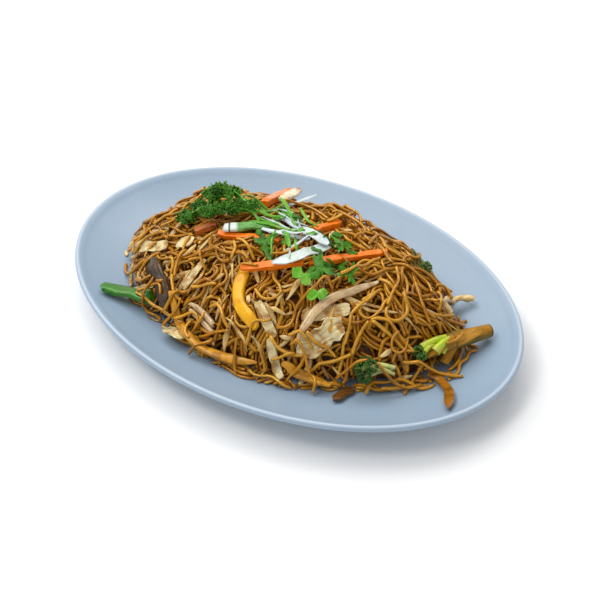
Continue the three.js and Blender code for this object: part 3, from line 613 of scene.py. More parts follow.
def line_of(node, corners, count=26):
    """The middle line of a node's solid over the plan curve through the corners."""
    tree = ray_tree(node)
    plan = smooth_line(corners, count)
    heights = np.full(count, np.nan)
    for i, (x, y) in enumerate(plan):
        above = tree.ray_cast(Vector((x * MM, y * MM, 0.2)), Vector((0, 0, -1)))[0]
        below = tree.ray_cast(Vector((x * MM, y * MM, -0.01)), Vector((0, 0, 1)))[0]
        if above is not None and below is not None:
            heights[i] = (above.z + below.z) / 2 / MM
    known = ~np.isnan(heights)
    heights = np.interp(np.arange(count), np.arange(count)[known], heights[known])
    return np.stack([plan[:, 0], plan[:, 1], heights], -1)


def steady_normals(line):
    """Directions away from the heap along a line, eased so that a strip doesn't twist on its way down."""
    normal = ground_normal(line[:, 0], line[:, 1], 6.0)
    half = max(1, len(line) // 6)
    weights = np.hanning(2 * half + 3)[1:-1]
    padded = np.pad(normal, ((half, half), (0, 0)), mode="edge")
    eased = np.stack([np.convolve(padded[:, k], weights / weights.sum(), mode="valid") for k in range(3)], -1)
    return eased / np.linalg.norm(eased, axis=1, keepdims=True)


def lay_along(piece, line):
    """Moves a straight piece's points onto a line: X runs along it, Z points away from the heap."""
    local = points_of(piece)
    steps = np.concatenate([[0], np.cumsum(np.linalg.norm(np.diff(line, axis=0), axis=1))])
    low, high = local[:, 0].min(), local[:, 0].max()
    share = (local[:, 0] - low) / (high - low)
    along = share * steps[-1]
    forward = np.gradient(line, axis=0)
    forward /= np.linalg.norm(forward, axis=1, keepdims=True)
    left = np.cross(steady_normals(line), forward)
    left /= np.linalg.norm(left, axis=1, keepdims=True)
    up = np.cross(forward, left)
    at = lambda values: np.stack([np.interp(along, steps, values[:, k]) for k in range(3)], -1)
    half = max(abs(local[:, 1]).max(), 1e-6)
    for key, numbers in (("along", along), ("across", local[:, 1] / half), ("share", share)):
        attribute = piece.data.attributes.new(key, "FLOAT", "POINT")
        attribute.data.foreach_set("value", numbers.astype(np.float32))
    placed = at(line) + at(left) * local[:, 1:2] + at(up) * local[:, 2:3]
    move_points(piece, placed * MM)


def dress(piece, material, slot, *stands_for):
    """Gives a finished piece its finish, hangs it under the root body and hides the solids it stands for."""
    piece.data.materials.clear()
    piece.data.materials.append(material)
    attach(piece, "root")
    if stands_for:
        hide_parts(*stands_for)


def narrowed(share, taper):
    from_start = taper[0] + (1 - taper[0]) * np.clip(share / 0.2, 0, 1) ** 0.7
    from_end = taper[1] + (1 - taper[1]) * np.clip((1 - share) / 0.2, 0, 1) ** 0.7
    return from_start * from_end


def path_length(line):
    return float(np.linalg.norm(np.diff(line, axis=0), axis=1).sum())


# %% [markdown]
# Raw carrot cut in matchsticks keeps flat sides, crisp but not sharp edges and torn-looking ends. A box cut
# into rings gets its four long edges bevelled, its ends thinned and its faces roughened a little.

# %% Carrot sticks
def carrot_stick(node, corners, width, thick, taper, rough=0.16, seed=0.0):
    line = line_of(node, corners, 8)
    length = path_length(line)
    piece = bar(node + "_cut", length, width, thick, int(length / 1.6), 3, 3)

    def is_long_corner(a, b):
        corner = abs(abs(a[1]) - width / 2) < 0.01 and abs(abs(a[2]) - thick / 2) < 0.01
        return corner and abs(b[1] - a[1]) < 0.01 and abs(b[2] - a[2]) < 0.01

    select_edges(piece, is_long_corner)
    bpy.ops.mesh.bevel(offset=min(width, thick) * 0.12, segments=2)
    bpy.ops.object.mode_set(mode="OBJECT")
    local = points_of(piece)
    share = local[:, 0] / length
    local[:, 1:] *= narrowed(share, taper)[:, None]
    local[:, 1:] *= 1 + 0.07 * np.sin(share * 9 + seed)[:, None]
    local[:, 1] += 0.3 * np.sin(share * 5 + 2 * seed)
    local += rough * wobble(local, 2.2, seed)[:, None] * [1, 1, 1]
    local[:, 0] += (
        np.where(share > 0.98, 0.5, 0) * local[:, 1] / width
        - np.where(share < 0.02, 0.5, 0) * local[:, 2] / thick
    )
    move_points(piece, local)
    lay_along(piece, line)
    smooth(piece, 35)
    return piece


CARROTS = [
    ("carrot_stick_1", [[-60, -27], [-48, -17]], 5, 4.6, (0.8, 0.8)),
    ("carrot_stick_2", [[-42, -23], [0, -10]], 4.6, 4, (0.75, 0.7)),
    ("carrot_stick_3", [[-7, -43], [27, -20]], 5, 4.2, (0.75, 0.7)),
    ("carrot_stick_4", [[29, -17], [59, 31]], 4.8, 4, (0.7, 0.6)),
    ("carrot_stick_5", [[13, 14], [16, 38]], 5.4, 4.6, (0.85, 0.8)),
    ("carrot_stick_6", [[-33, 16], [-42, 59]], 6.4, 5, (0.85, 0.85)),
]
for number, (node, corners, width, thick, taper) in enumerate(CARROTS):
    piece = carrot_stick(node, corners, width, thick, taper, seed=1.7 * number)
    if number == 0:
        dress(piece, STEWED, "stewed_carrot", node)
    else:
        dress(piece, CARROT, "carrot", node)

# %% [markdown]
# Pepper and onion strips are flat on the cut side and full on the other, with the skin's long curve. A bar
# with many cuts across it is swelled into that section, and its ends are drawn in as far as its solid's
# are.

# %% Pepper, onion and other soft strips
def soft_strip(node, corners, width, thick, taper, fullness=0.5, groove=0.0, uneven=0.3, seed=0.0, tip=0.35):
    line = line_of(node, corners)
    length = path_length(line)
    piece = bar(node + "_cut", length, width, thick, int(length / 1.1), 9, 3)
    local = points_of(piece)
    share = local[:, 0] / length
    side = local[:, 1] / (width / 2)
    rounding = np.sqrt(np.clip(1 - np.abs(side) ** 2.6, 0, 1))
    local[:, 2] = local[:, 2] * (1 - fullness + fullness * rounding) + 0.1 * thick * (rounding - 0.5)
    local[:, 2] -= groove * np.sin(side * 9.0) * (local[:, 2] > 0)
    local[:, 1] *= narrowed(share, taper) * (1 + 0.08 * np.sin(share * 7 + seed))
    local[:, 2] *= 0.55 + 0.45 * narrowed(share, (tip, tip))
    local[:, 0] += 0.18 * width * (0.5 - share) * 2 * side**2
    local += uneven * wobble(local, 4.5, seed)[:, None] * [0.2, 0.5, 0.5]
    move_points(piece, local)
    lay_along(piece, line)
    smooth(piece, 60)
    return piece


STRIPS = [
    ("green_pepper_strip", [[-102, -80], [-87, -72], [-66, -68]], 11, 4.6, (0.9, 0.8), "green_pepper", {}),
    (
        "orange_pepper_strip_1", [[-50, -66], [-35, -75], [-18, -82], [3, -81], [28, -72]],
        6.4, 2.6, (0.5, 0.3), "sauce", {},
    ),
    ("orange_pepper_strip_2", [[44, -67], [57, -64], [76, -58]], 6.4, 2.2, (0.6, 0.6), "sauce", {}),
    ("browned_onion_tip", [[87, -48], [84, -56], [84, -67]], 7, 2.0, (0.7, 0.1), "dark_tip",
     {"groove": 0.15, "uneven": 0.5}),
    ("brown_pepper_strip", [[119, -11], [128, -11], [140, -21], [150, -41]], 6, 2.6, (0.9, 0.25), "browned",
     {"uneven": 0.12}),
    ("red_onion_strip", [[49, -57], [50, -43], [54, -26], [69, 5]], 5.6, 2, (0.5, 0.4), "red_onion",
     {"groove": 0.12, "fullness": 0.7}),
    ("yellow_pepper_strip", [[-7, -38], [-4, -49], [5, -59], [22, -64]], 8.6, 3.4, (0.8, 0.7),
     "yellow_pepper", {"fullness": 0.45}),
    ("pale_stem", [[-22, 22], [-34, 58]], 7.5, 3, (0.8, 0.9), "pale", {"groove": 0.22, "tip": 0.7}),
    ("spring_onion", [[-39, -21], [-28, -13], [-15, 1]], 7, 2.9, (0.95, 0.7), "spring_onion",
     {"groove": 0.16, "tip": 0.85}),
]
for number, (node, corners, width, thick, taper, slot, more) in enumerate(STRIPS):
    piece = soft_strip(node, corners, width, thick, taper, seed=2.3 * number, **more)
    dress(piece, FINISHES[slot], "browned" if slot == "dark_tip" else slot, node)

# %% [markdown]
# Two layers of a red onion lie side by side, each a shallow arc of its own. They share one solid, so both
# are laid along its line, one to each side.

# %% Onion layers
def onion_layers():
    line = line_of("red_onion_layers", [[-33, -66], [-22, -68], [-9, -71]])
    layers = []
    for side in (-1, 1):
        length = path_length(line)
        piece = bar("onion_layer", length, 3.9, 1.5, 24, 7, 1)
        local = points_of(piece)
        share = local[:, 0] / length
        local[:, 2] += 0.9 * (1 - (local[:, 1] / 1.95) ** 2) - 0.5
        local[:, 2] -= 0.12 * np.sin(local[:, 1] * 5)
        drawn_in = local[:, 1] * narrowed(share, (0.4, 0.5))
        local[:, 1] = drawn_in + side * 2.0 + 0.5 * side * np.sin(share * 3.1)
        local += 0.3 * wobble(local, 4, side)[:, None] * [0, 0.5, 0.6]
        move_points(piece, local)
        lay_along(piece, line)
        layers.append(piece)
    return layers


def join(pieces, name):
    start_fresh()
    for piece in pieces:
        piece.select_set(True)
    bpy.context.view_layer.objects.active = pieces[0]
    bpy.ops.object.join()
    pieces[0].name = name
    return pieces[0]


layers = join(onion_layers(), "red_onion_layers_cut")
smooth(layers, 60)
dress(layers, FINISHES["red_onion"], "red_onion", "red_onion_layers")

# %% [markdown]
# Cabbage is a sheet: thin, ruffled, with a torn outline and ribs that fan out from one end. It starts as a
# flat grid cut by operators, is shaped in the plan and in height, and gets its thickness last, from
# Solidify.

# %% Cabbage and white shreds
def sheet(node, corners, width, thick, taper, ribs, ruffle, ragged, seed, curl=0.3):
    line = line_of(node, corners)
    length = path_length(line)
    start_fresh()
    bpy.ops.mesh.primitive_grid_add(
        x_subdivisions=max(14, int(length / 0.9)), y_subdivisions=14, size=1, location=(0, 0, 0)
    )
    piece = bpy.context.object
    piece.name = node + "_torn"
    local = points_of(piece)
    share, side = local[:, 0] + 0.5, local[:, 1] * 2
    torn = np.sin(share * 17 + 3 * side + seed) * np.sin(share * 7 + seed)
    edge = narrowed(share, taper) * (1 + ragged * torn)
    local[:, 0] = share * length + ragged * 2.2 * np.sin(side * 5 + seed) * (share - 0.5)
    local[:, 1] = side * width / 2 * edge
    swell = np.sin(local[:, 0] / length * 6.0 + seed) * ruffle * side * np.abs(side)
    fold = 0.35 * ruffle * np.sin(local[:, 0] / 2.3 + 1.5 * side + seed)
    rib = ribs * np.cos(side * (5 + 5 * (1 - share)) + 0.4 * np.sin(share * 5)) ** 6
    local[:, 2] = curl * thick * side**2 + swell + fold + rib
    move_points(piece, local)
    lay_along(piece, line)
    apply_modifier(piece, "SOLIDIFY", thickness=0.75 * MM, offset=0.0)
    smooth(piece, 70)
    return piece


SHEETS = [
    ("cabbage_piece_1", [[-43, -80], [-34, -83], [-25, -83]], 9, 1.6, (0.6, 0.6), "pale", 0.3, 0.9, 0.12),
    ("cabbage_piece_2", [[-107, -37], [-91, -38], [-77, -37]], 8, 1.4, (0.6, 0.6), "pale", 0.4, 0.8, 0.10),
    ("cabbage_piece_3", [[-70, -35], [-58, -31]], 9, 1.5, (0.6, 0.6), "pale", 0.3, 0.7, 0.12),
    ("cabbage_piece_4", [[-44, -60], [-41, -51], [-39, -41]], 5, 1.6, (0.6, 0.6), "pale", 0.4, 0.3, 0.06),
    ("cabbage_piece_5", [[42, -43], [53, -34], [65, -22]], 9, 1.5, (0.6, 0.6), "pale", 0.3, 1.0, 0.14),
    ("cabbage_piece_6", [[48, -56], [58, -48], [68, -34]], 15, 1.5, (0.6, 0.6), "pale", 1.0, 2.0, 0.2),
    ("cabbage_piece_7", [[13, -51], [23, -56], [33, -60]], 6.5, 1.7, (0.6, 0.6), "pale", 0.5, 0.4, 0.08),
    ("cabbage_piece_8", [[31, -64], [38, -67], [47, -71]], 5.5, 1.8, (0.6, 0.6), "pale", 0.4, 0.4, 0.08),
    ("white_shred_1", [[-16, -8], [2, -6], [15, 4]], 3.2, 1.4, (0.6, 0.5), "white", 0.1, 0.1, 0.02),
    ("white_shred_2", [[-19, 12], [-8, 13], [4, 9]], 4.6, 1.6, (0.6, 0.5), "white", 0.12, 0.15, 0.03),
    ("white_shred_3", [[11, -33], [24, -20], [30, 2]], 7.4, 1.6, (0.15, 0.9), "white", 0.12, 0.12, 0.02),
    ("white_shred_4", [[8, 2], [20, 1], [32, 1]], 6.6, 1.4, (0.7, 0.3), "white", 0.12, 0.12, 0.02),
    ("white_shred_5", [[-26, 12], [-21, 32], [-16, 55]], 3.2, 1.6, (0.7, 0.3), "white", 0.1, 0.1, 0.03),
]
for number, (node, corners, width, thick, taper, slot, ribs, ruffle, ragged) in enumerate(SHEETS):
    piece = sheet(node, corners, width, thick, taper, ribs, ruffle, ragged, 1.9 * number)
    dress(piece, FINISHES[slot], slot, node)

# %% [markdown]
# A slice through a mushroom shows a brown cap on one long side and dark gills combed across on the other. A
# bent bar gets the cap's bulge along one edge and fine ridges, at right angles to it, along the other.

# %% Mushroom slice
def mushroom_slice():
    node, width, thick = "mushroom_slice", 13, 4
    line = line_of(node, [[-85, -49], [-63, -62], [-51, -71]])
    length = path_length(line)
    piece = bar(node + "_cut", length, width, thick, 90, 13, 3)
    local = points_of(piece)
    share, side = local[:, 0] / length, local[:, 1] / (width / 2)
    gills = np.clip(0.35 - side, 0, 1)
    local[:, 2] *= 0.55 + 0.45 * np.sqrt(np.clip(1 - side**4, 0, 1))
    local[:, 2] += 0.28 * gills * np.sin(local[:, 0] * 4.6) * (local[:, 2] > 0)
    local[:, 2] += 0.7 * np.clip(side - 0.3, 0, 1) * (local[:, 2] > 0)
    local[:, 1] *= narrowed(share, (0.35, 0.4)) * (1 + 0.06 * np.sin(share * 11))
    local[:, 1] += 1.6 * np.sin(share * 3.1)
    local += 0.4 * wobble(local, 4, 3)[:, None] * [0.3, 0.6, 0.5]
    move_points(piece, local)
    lay_along(piece, line)
    smooth(piece, 60)
    return piece


dress(mushroom_slice(), FINISHES["mushroom"], "mushroom", "mushroom_slice")

# %% [markdown]
# A bean sprout is a juicy round shoot with two seed halves at one end and a thread of root at the other. A
# bar with rounded sides is swelled and thinned along its length.

# %% Bean sprouts
def round_shoot(name, line, width, swell, seed=0.0, rough=0.1):
    """A round shoot along a line. Swell gives the share of the width at each share of length."""
    length = path_length(line)
    start_fresh()
    bpy.ops.mesh.primitive_cylinder_add(vertices=12, radius=0.5, depth=1, rotation=(0, math.pi / 2, 0))
    piece = bpy.context.object
    piece.name = name
    bpy.ops.object.transform_apply(location=True, rotation=True, scale=True)
    select_edges(piece, runs_along(0))
    bpy.ops.mesh.subdivide(number_cuts=max(10, int(length / 1.1)))
    bpy.ops.object.mode_set(mode="OBJECT")
    local = points_of(piece)
    share = local[:, 0] + 0.5
    local[:, 1:] *= width * swell(share)[:, None]
    local[:, 0] = share * length
    local += rough * wobble(local, 2, seed)[:, None] * [0, 1, 1]
    move_points(piece, local)
    lay_along(piece, line)
    smooth(piece, 70)
    return piece


def sprout_swell(share):
    return (
        0.62
        + 0.22 * np.sin(share * 3.1)
        + 0.3 * np.exp(-(((share - 0.9) / 0.08) ** 2))
        + 0.06 * np.sin(share * 21)
    )


for node, corners, width in (
    ("bean_sprout_1", [[103, 28], [101, 55], [111, 63]], 5),
    ("bean_sprout_2", [[103, 25], [112, 29]], 4.6),
):
    shoot = round_shoot(node + "_shoot", line_of(node, corners), width, sprout_swell, 1.0, 0.5)
    dress(shoot, FINISHES["soaked"], "pale", node)

# %% [markdown]
# Broccoli is a thick stem that forks under a crown of tiny buds. The stem is a cylinder drawn out by lines,
# and the crown is one bud, modelled once and copied hundreds of times over a few round heads.

# %% Many copies of one small piece
def copies(name, model, places, tints):
    """One mesh of many copies of a model. Each place is a matrix of 3 by 4, in mm."""
    points = points_of(model)
    faces = [list(p.vertices) for p in model.data.polygons]
    placed_points = [points @ m[:, :3].T + m[:, 3] for m in places]
    all_faces = [[v + i * len(points) for v in face] for i in range(len(places)) for face in faces]
    values = {"tint": np.repeat(tints, len(points))}
    values["across"] = np.zeros(len(points) * len(places))
    values["along"] = np.tile(np.linalg.norm(points, axis=1), len(places))
    bpy.data.objects.remove(model)
    return mesh_piece(name, np.concatenate(placed_points), all_faces, values)


def mesh_piece(name, points, faces, values):
    """A mesh object from points in mm and faces, with a number of each kind in values at every point."""
    mesh = bpy.data.meshes.new(name)
    mesh.from_pydata((points * MM).tolist(), [], faces)
    for key, numbers in values.items():
        attribute = mesh.attributes.new(key, "FLOAT", "POINT")
        attribute.data.foreach_set("value", np.asarray(numbers, np.float32))
    piece = bpy.data.objects.new(name, mesh)
    bpy.context.scene.collection.objects.link(piece)
    mesh.polygons.foreach_set("use_smooth", [True] * len(mesh.polygons))
    return piece


def facing(direction, size, dice):
    """A matrix that turns Z to a direction, spins about it at random and scales."""
    up = np.asarray(direction, float)
    up /= np.linalg.norm(up)
    side = np.cross(up, dice.normal(size=3))
    side /= np.linalg.norm(side)
    return np.stack([side, np.cross(up, side), up], -1) * size


def bud():
    start_fresh()
    bpy.ops.mesh.primitive_ico_sphere_add(subdivisions=2, radius=1, location=(0, 0, 0))
    piece = bpy.context.object
    bpy.ops.object.mode_set(mode="EDIT")
    bpy.ops.mesh.select_all(action="SELECT")
    bpy.ops.transform.resize(value=(1, 1, 1.35), center_override=(0, 0, 0))
    bpy.ops.object.mode_set(mode="OBJECT")
    return piece


def crown(name, heads, count, size, dice):
    """Buds all over some round heads, given as middle and radius, thickest where they face up and out."""
    middles = np.array([h[0] for h in heads], float)
    radii = np.array([h[1] for h in heads], float)
    places, tints = [], []
    while len(places) < count:
        k = dice.choice(len(heads), p=radii**2 / (radii**2).sum())
        direction = dice.normal(size=3)
        direction /= np.linalg.norm(direction)
        spot = middles[k] + direction * radii[k] * dice.uniform(0.86, 1.0)
        others = np.linalg.norm(middles - spot, axis=1) < radii * 0.8
        if others.any():
            continue
        turn = facing(direction, size * dice.uniform(0.6, 1.15), dice)
        places.append(np.concatenate([turn, spot[:, None]], 1))
        tints.append(dice.uniform(0, 1))
    return copies(name, bud(), places, tints)


def stem_between(name, start, end, width_start, width_end, bow=0.0):
    start, end = np.array(start, float), np.array(end, float)
    t = np.linspace(0, 1, 12)[:, None]
    line = start + (end - start) * t
    line[:, 2] += bow * np.sin(t[:, 0] * math.pi)
    return round_shoot(name, line, 1.0, lambda s: width_start + (width_end - width_start) * s)


# %% [markdown]
# The near floret lies on its side, half under the noodles, with pale stems towards the right. The far one
# hangs over the flank and shows a thin stem in the air. Their heads sit where their solids' knobs do.

# %% Florets
def floret(node, middle, radius, stem_end, stem_radius, spread, stem_finish, buds, dice):
    heart, end = np.array(middle, float), np.array(stem_end, float)
    away = (heart - end) / np.linalg.norm(heart - end)
    side = np.cross(away, [0, 0, 1.0])
    side /= np.linalg.norm(side)
    up = np.cross(side, away)
    heads = [(heart + away * radius * 0.35, radius * 0.56)]
    for j in range(3):
        angle = j / 3 * 2 * math.pi
        spot = heart + radius * 0.55 * (side * math.cos(angle) + up * math.sin(angle))
        heads.append((spot + away * radius * 0.12 * math.sin(2 * angle), radius * 0.48))
    head = crown(node + "_buds", heads, buds, 0.75, dice)
    dress(head, FINISHES["broccoli"], "broccoli", node)
    parts = []
    for number, (spot, reach) in enumerate(heads):
        root = end + (side * math.cos(1.9 * number) + up * math.sin(1.9 * number)) * stem_radius * spread
        parts.append(stem_between(node + "_fork", root, spot, stem_radius * 0.9, stem_radius * 1.5, 0.8))
    stem = join(parts, node + "_stems")
    dress(stem, FINISHES[stem_finish], "broccoli", node)


floret(
    "broccoli_floret_1", (92, -42, 25), 9, (104, -29, 21), 2.4, 1.2,
    "broccoli_stem", 430, np.random.default_rng(3),
)
floret(
    "broccoli_floret_2", (78, 47, 38), 8, (64, 55, 46), 1.5, 0.2,
    "thin_stem", 380, np.random.default_rng(4),
)

# %% [markdown]
# The split stalk lies on the platter with its cut face up. The cut is made as by hand: a thick round stem
# is bisected by a plane and the open side is filled. Two branches and a few bright leaf bits finish it.

# %% Broccoli stalk
def rest_on_ground(x, y, radius, raised):
    return (x, y, float(ground(np.array([float(x)]), np.array([float(y)]))[0]) + 0.6 + radius + raised)


def slice_top(piece, share_left, slant):
    """Cuts the top off along a plane through the piece and closes the cut."""
    low, high = points_of(piece).min(0), points_of(piece).max(0)
    take_up(piece)
    bpy.ops.object.mode_set(mode="EDIT")
    bpy.ops.mesh.select_all(action="SELECT")
    height = low[2] + (high[2] - low[2]) * share_left
    middle = (low + high) / 2
    bpy.ops.mesh.bisect(
        plane_co=(middle[0], middle[1], height), plane_no=slant, use_fill=True, clear_outer=True
    )
    bpy.ops.object.mode_set(mode="OBJECT")
    smooth(piece, 40)


def broccoli_stalk():
    butt = rest_on_ground(136, 39, 4.6, 0.5)
    fork = rest_on_ground(122, 13, 6.4, 1)
    far = rest_on_ground(113, -8, 6.2, 1)
    branch = rest_on_ground(123, 2, 4.4, 0.6)
    trunk = stem_between("stalk_trunk", butt, fork, 9.2, 12.4)
    slice_top(trunk, 0.74, (0.25, -0.2, 1))
    arm = stem_between("stalk_arm", fork, far, 12.2, 11.4)
    slice_top(arm, 0.8, (0.1, -0.3, 1))
    twig = stem_between("stalk_twig", (123, 13, fork[2] - 1), branch, 9, 8)
    return join([trunk, arm, twig], "broccoli_stalk_split")


stalk = broccoli_stalk()
dress(stalk, FINISHES["stalk"], "stalk", "broccoli_stalk")

# %% [markdown]
# Where leaf stems were cut from the stalk the flesh is bright yellow-green. Each of these is a short
# tapered shoot that lies half sunk in the stalk, and one small head of dark buds is left between them.

# %% Bright cuts on the stalk
CUTS = [
    ((111.5, -8.5, 28.6), (119.0, 9.0, 29.0), 5.6, 3.0),
    ((119.2, -4.5, 26.0), (121.4, 11.0, 28.2), 7.2, 3.0),
    ((114.5, -10.5, 27.4), (116.6, -1.0, 28.4), 3.6, 2.0),
    ((122.8, 0.0, 23.2), (122.6, 9.0, 26.0), 3.4, 1.8),
]
cuts = [stem_between("bright_cut", start, end, wide, thin, 1.2) for start, end, wide, thin in CUTS]
dress(join(cuts, "stalk_bright_cuts"), FINISHES["bright_buds"], "stalk", "broccoli_stalk")
dark = crown(
    "stalk_buds", [((111.5, -12.0, 27.6), 3.6), ((114.5, -13.0, 26.6), 3.2)],
    170, 0.7, np.random.default_rng(5),
)
dress(dark, FINISHES["broccoli"], "stalk", "broccoli_stalk")

# %% [markdown]
# A coriander leaf is flat, cut into three lobes with teeth, and creased along its veins. A circle is
# extruded inwards ring by ring, its outline is drawn in between the lobes, and Solidify gives the blade its
# thickness.

# %% Coriander leaves
def disc(name, spokes, rings):
    start_fresh()
    bpy.ops.mesh.primitive_circle_add(vertices=spokes, radius=1, location=(0, 0, 0))
    piece = bpy.context.object
    piece.name = name
    bpy.ops.object.mode_set(mode="EDIT")
    bpy.ops.mesh.select_mode(type="EDGE")
    bpy.ops.mesh.select_all(action="SELECT")
    for ring in range(rings - 1, 0, -1):
        factor = ring / (ring + 1)
        bpy.ops.mesh.extrude_region_move(TRANSFORM_OT_translate={"value": (0, 0, 0)})
        bpy.ops.transform.resize(value=(factor, factor, 1), center_override=(0, 0, 0))
    bpy.ops.mesh.edge_face_add()
    bpy.ops.mesh.poke()
    bpy.ops.mesh.select_all(action="SELECT")
    bpy.ops.mesh.normals_make_consistent(inside=False)
    bpy.ops.object.mode_set(mode="OBJECT")
    return piece


def leaf(node, at, radius, turn, lobes=3, seed=0.0):
    tree = ray_tree(node)
    x0, y0 = at
    above = tree.ray_cast(Vector((x0 * MM, y0 * MM, 0.2)), Vector((0, 0, -1)))[0]
    piece = disc(node + "_blade", 72, 7)
    local = points_of(piece)
    share, angle = np.hypot(local[:, 0], local[:, 1]), np.arctan2(local[:, 1], local[:, 0])
    teeth = 0.10 * np.cos(3 * lobes * angle + seed) + 0.05 * np.cos(7 * lobes * angle)
    if lobes > 2:
        teeth += 0.12 * np.cos(13 * angle + seed) + 0.1 * np.cos(angle + 2 * seed)
    outline = 0.64 + 0.34 * np.cos(lobes * angle) + teeth
    r = radius * share * (1 + (np.maximum(outline, 0.14) - 1) * share**0.4)
    x, y = r * np.cos(angle + turn), r * np.sin(angle + turn)
    normal = ground_normal(np.array([float(x0)]), np.array([float(y0)]))[0]
    z = -(x * normal[0] + y * normal[1]) / normal[2] + share * np.sin(3 * angle + turn)
    z += 0.35 * np.abs(np.sin(lobes * angle / 2)) * share + 0.7 * share**2 * np.sin(5 * angle + seed)
    values = {"along": r, "across": np.sin(lobes * angle * 2), "share": share}
    for key, numbers in values.items():
        attribute = piece.data.attributes.new(key, "FLOAT", "POINT")
        attribute.data.foreach_set("value", numbers.astype(np.float32))
    move_points(piece, np.stack([x + x0, y + y0, z + above.z / MM], -1) * MM)
    apply_modifier(piece, "SOLIDIFY", thickness=0.32 * MM, offset=0.0)
    smooth(piece, 70)
    return piece


LEAVES = [
    ("coriander_leaf_1", (-5, -20), 8, 1.2, 3),
    ("coriander_leaf_2", (-13, 15), 8.5, 0.4, 3),
    ("coriander_leaf_3", (40, -19), 10, 2.4, 3),
    ("coriander_leaf_4", (57, -12), 7.5, 3.6, 3),
    ("coriander_leaf_5", (34, -32), 6.5, 0, 2),
    ("coriander_leaf_6", (47, -33), 6, 0.7, 2),
    ("coriander_leaf_7", (38, 8), 6.5, 5, 3),
]
for number, (node, at, radius, turn, lobes) in enumerate(LEAVES):
    finish = FINISHES["bright_leaf"] if lobes == 2 else FINISHES["leaf"]
    dress(leaf(node, at, radius, turn, lobes, 1.3 * number), finish, "leaf", node)

# %% [markdown]
# Curly parsley is all frill: each leaflet's edge is longer than the leaflet has room for, so it waves up
# and down. One frilled leaflet is modelled and copied over nine tufts at the ends of the sprig's branches.

# %% Parsley
TUFTS = [
    (-73, -19, 58), (-71, -9, 62), (-57, -15, 67), (-63, -3, 71), (-48, -9, 70), (-61, 2, 75),
    (-51, 4, 74), (-41, -2, 71), (-35, 3, 71),
]


def frilled_leaflet():
    piece = disc("frill", 30, 3)
    local = points_of(piece)
    share, angle = np.hypot(local[:, 0], local[:, 1]), np.arctan2(local[:, 1], local[:, 0])
    r = share * (0.86 + 0.1 * np.cos(3 * angle) + 0.13 * np.cos(8 * angle))
    z = 0.36 * share**1.6 * np.sin(5 * angle) + 0.2 * share**2 * np.sin(11 * angle) + 0.25 * share**2
    move_points(piece, np.stack([r * np.cos(angle), r * np.sin(angle), z], -1))
    apply_modifier(piece, "SOLIDIFY", thickness=0.07, offset=0.0)
    return piece


def parsley(dice):
    places, tints = [], []
    middle = np.mean(TUFTS, axis=0)
    for tuft in np.array(TUFTS, float):
        for _ in range(30):
            direction = dice.normal(size=3)
            direction[2] = abs(direction[2]) * 0.9 + 0.1
            direction /= np.linalg.norm(direction)
            spot = tuft + direction * dice.uniform(2.0, 6.6) * [1, 1, 0.62] + [0, 0, -1]
            away = direction + 0.5 * dice.normal(size=3) + 0.02 * (tuft - middle)
            turn = facing(away, dice.uniform(1.8, 3.4), dice)
            places.append(np.concatenate([turn, spot[:, None]], 1))
            tints.append(dice.uniform(0, 1))
    return copies("parsley_frills", frilled_leaflet(), places, tints)


def parsley_stems():
    start, end = np.array((-27, 3, 69.0)), np.array((-69, -12, 63.0))
    parts = [stem_between("parsley_stem", start, end, 2.4, 2.0, 1.5)]
    for tuft in TUFTS:
        share = min(0.95, max(0.05, (start[0] - tuft[0]) / (start[0] - end[0])))
        root = start + (end - start) * share
        parts.append(stem_between("parsley_branch", root, tuft, 1.5, 1.2, 0.5))
    return join(parts, "parsley_stems")


dress(parsley(np.random.default_rng(6)), FINISHES["parsley"], "parsley", "parsley_sprig")
dress(parsley_stems(), FINISHES["parsley_stem"], "parsley", "parsley_sprig")

# %% [markdown]
# Under the loose noodles lies a packed core that only shows as darkness in the gaps. A sphere is pressed
# into the mound's shape: its upper half follows the mound, its lower half the platter.

# %% The packed core
def make_core():
    start_fresh()
    bpy.ops.mesh.primitive_uv_sphere_add(segments=96, ring_count=36, radius=1, location=(0, 0, 0))
    core = bpy.context.object
    core.name = "packed_noodles"
    unit = points_of(core)
    share = np.clip(np.hypot(unit[:, 0], unit[:, 1]), 0, 1) * 0.998
    angle = np.arctan2(unit[:, 1], unit[:, 0])
    waver = np.sin(3 * angle + 0.6) + 0.7 * np.sin(5 * angle + 2.1) + 0.5 * np.sin(8 * angle)
    u = share * (1 + 0.022 * waver) * np.cos(angle) * CORE[0]
    v = share * (1 + 0.022 * waver) * np.sin(angle) * CORE[1]
    x = HEAP_X + u * math.cos(HEAP_TURN) - v * math.sin(HEAP_TURN)
    y = HEAP_Y + u * math.sin(HEAP_TURN) + v * math.cos(HEAP_TURN)
    upper = unit[:, 2] > 0.001
    z = plate_top(x, y) + 0.7 + np.where(upper, mound(x, y, *CORE), 0)
    move_points(core, np.stack([x, y, z], -1) * MM)
    smooth(core, 80)
    return core


core = make_core()

# %% [markdown]
# Noodles can't be placed one by one by hand, so each is let down on the pile by rule. A noodle is a line of
# balls. Each ball rests on what the relief holds, the line sags between its rests and bends smoothly, and
# where it settles it is pressed into the relief for the next one to lie on. A noodle keeps only the stretch
# that stays inside the mound's outer surface and under the vegetables.

# %% Letting strands down on the pile
STEP = 1.3


def ball(radius):
    """Cells within a ball's reach, and how much lower than the ball's middle it touches them."""
    n = int(radius / CELL)
    rows, columns = np.mgrid[-n : n + 1, -n : n + 1]
    flat = (rows**2 + columns**2) * CELL**2
    near = flat < radius**2
    return rows[near], columns[near], np.sqrt(radius**2 - flat[near])


SQUEEZE = 0.2


def rest_height(x, y, radius):
    row, column = cell_of(x, y)
    rows, columns, drop = ball(radius)
    return (relief[row[:, None] + rows, column[:, None] + columns] + drop).max(1) - SQUEEZE


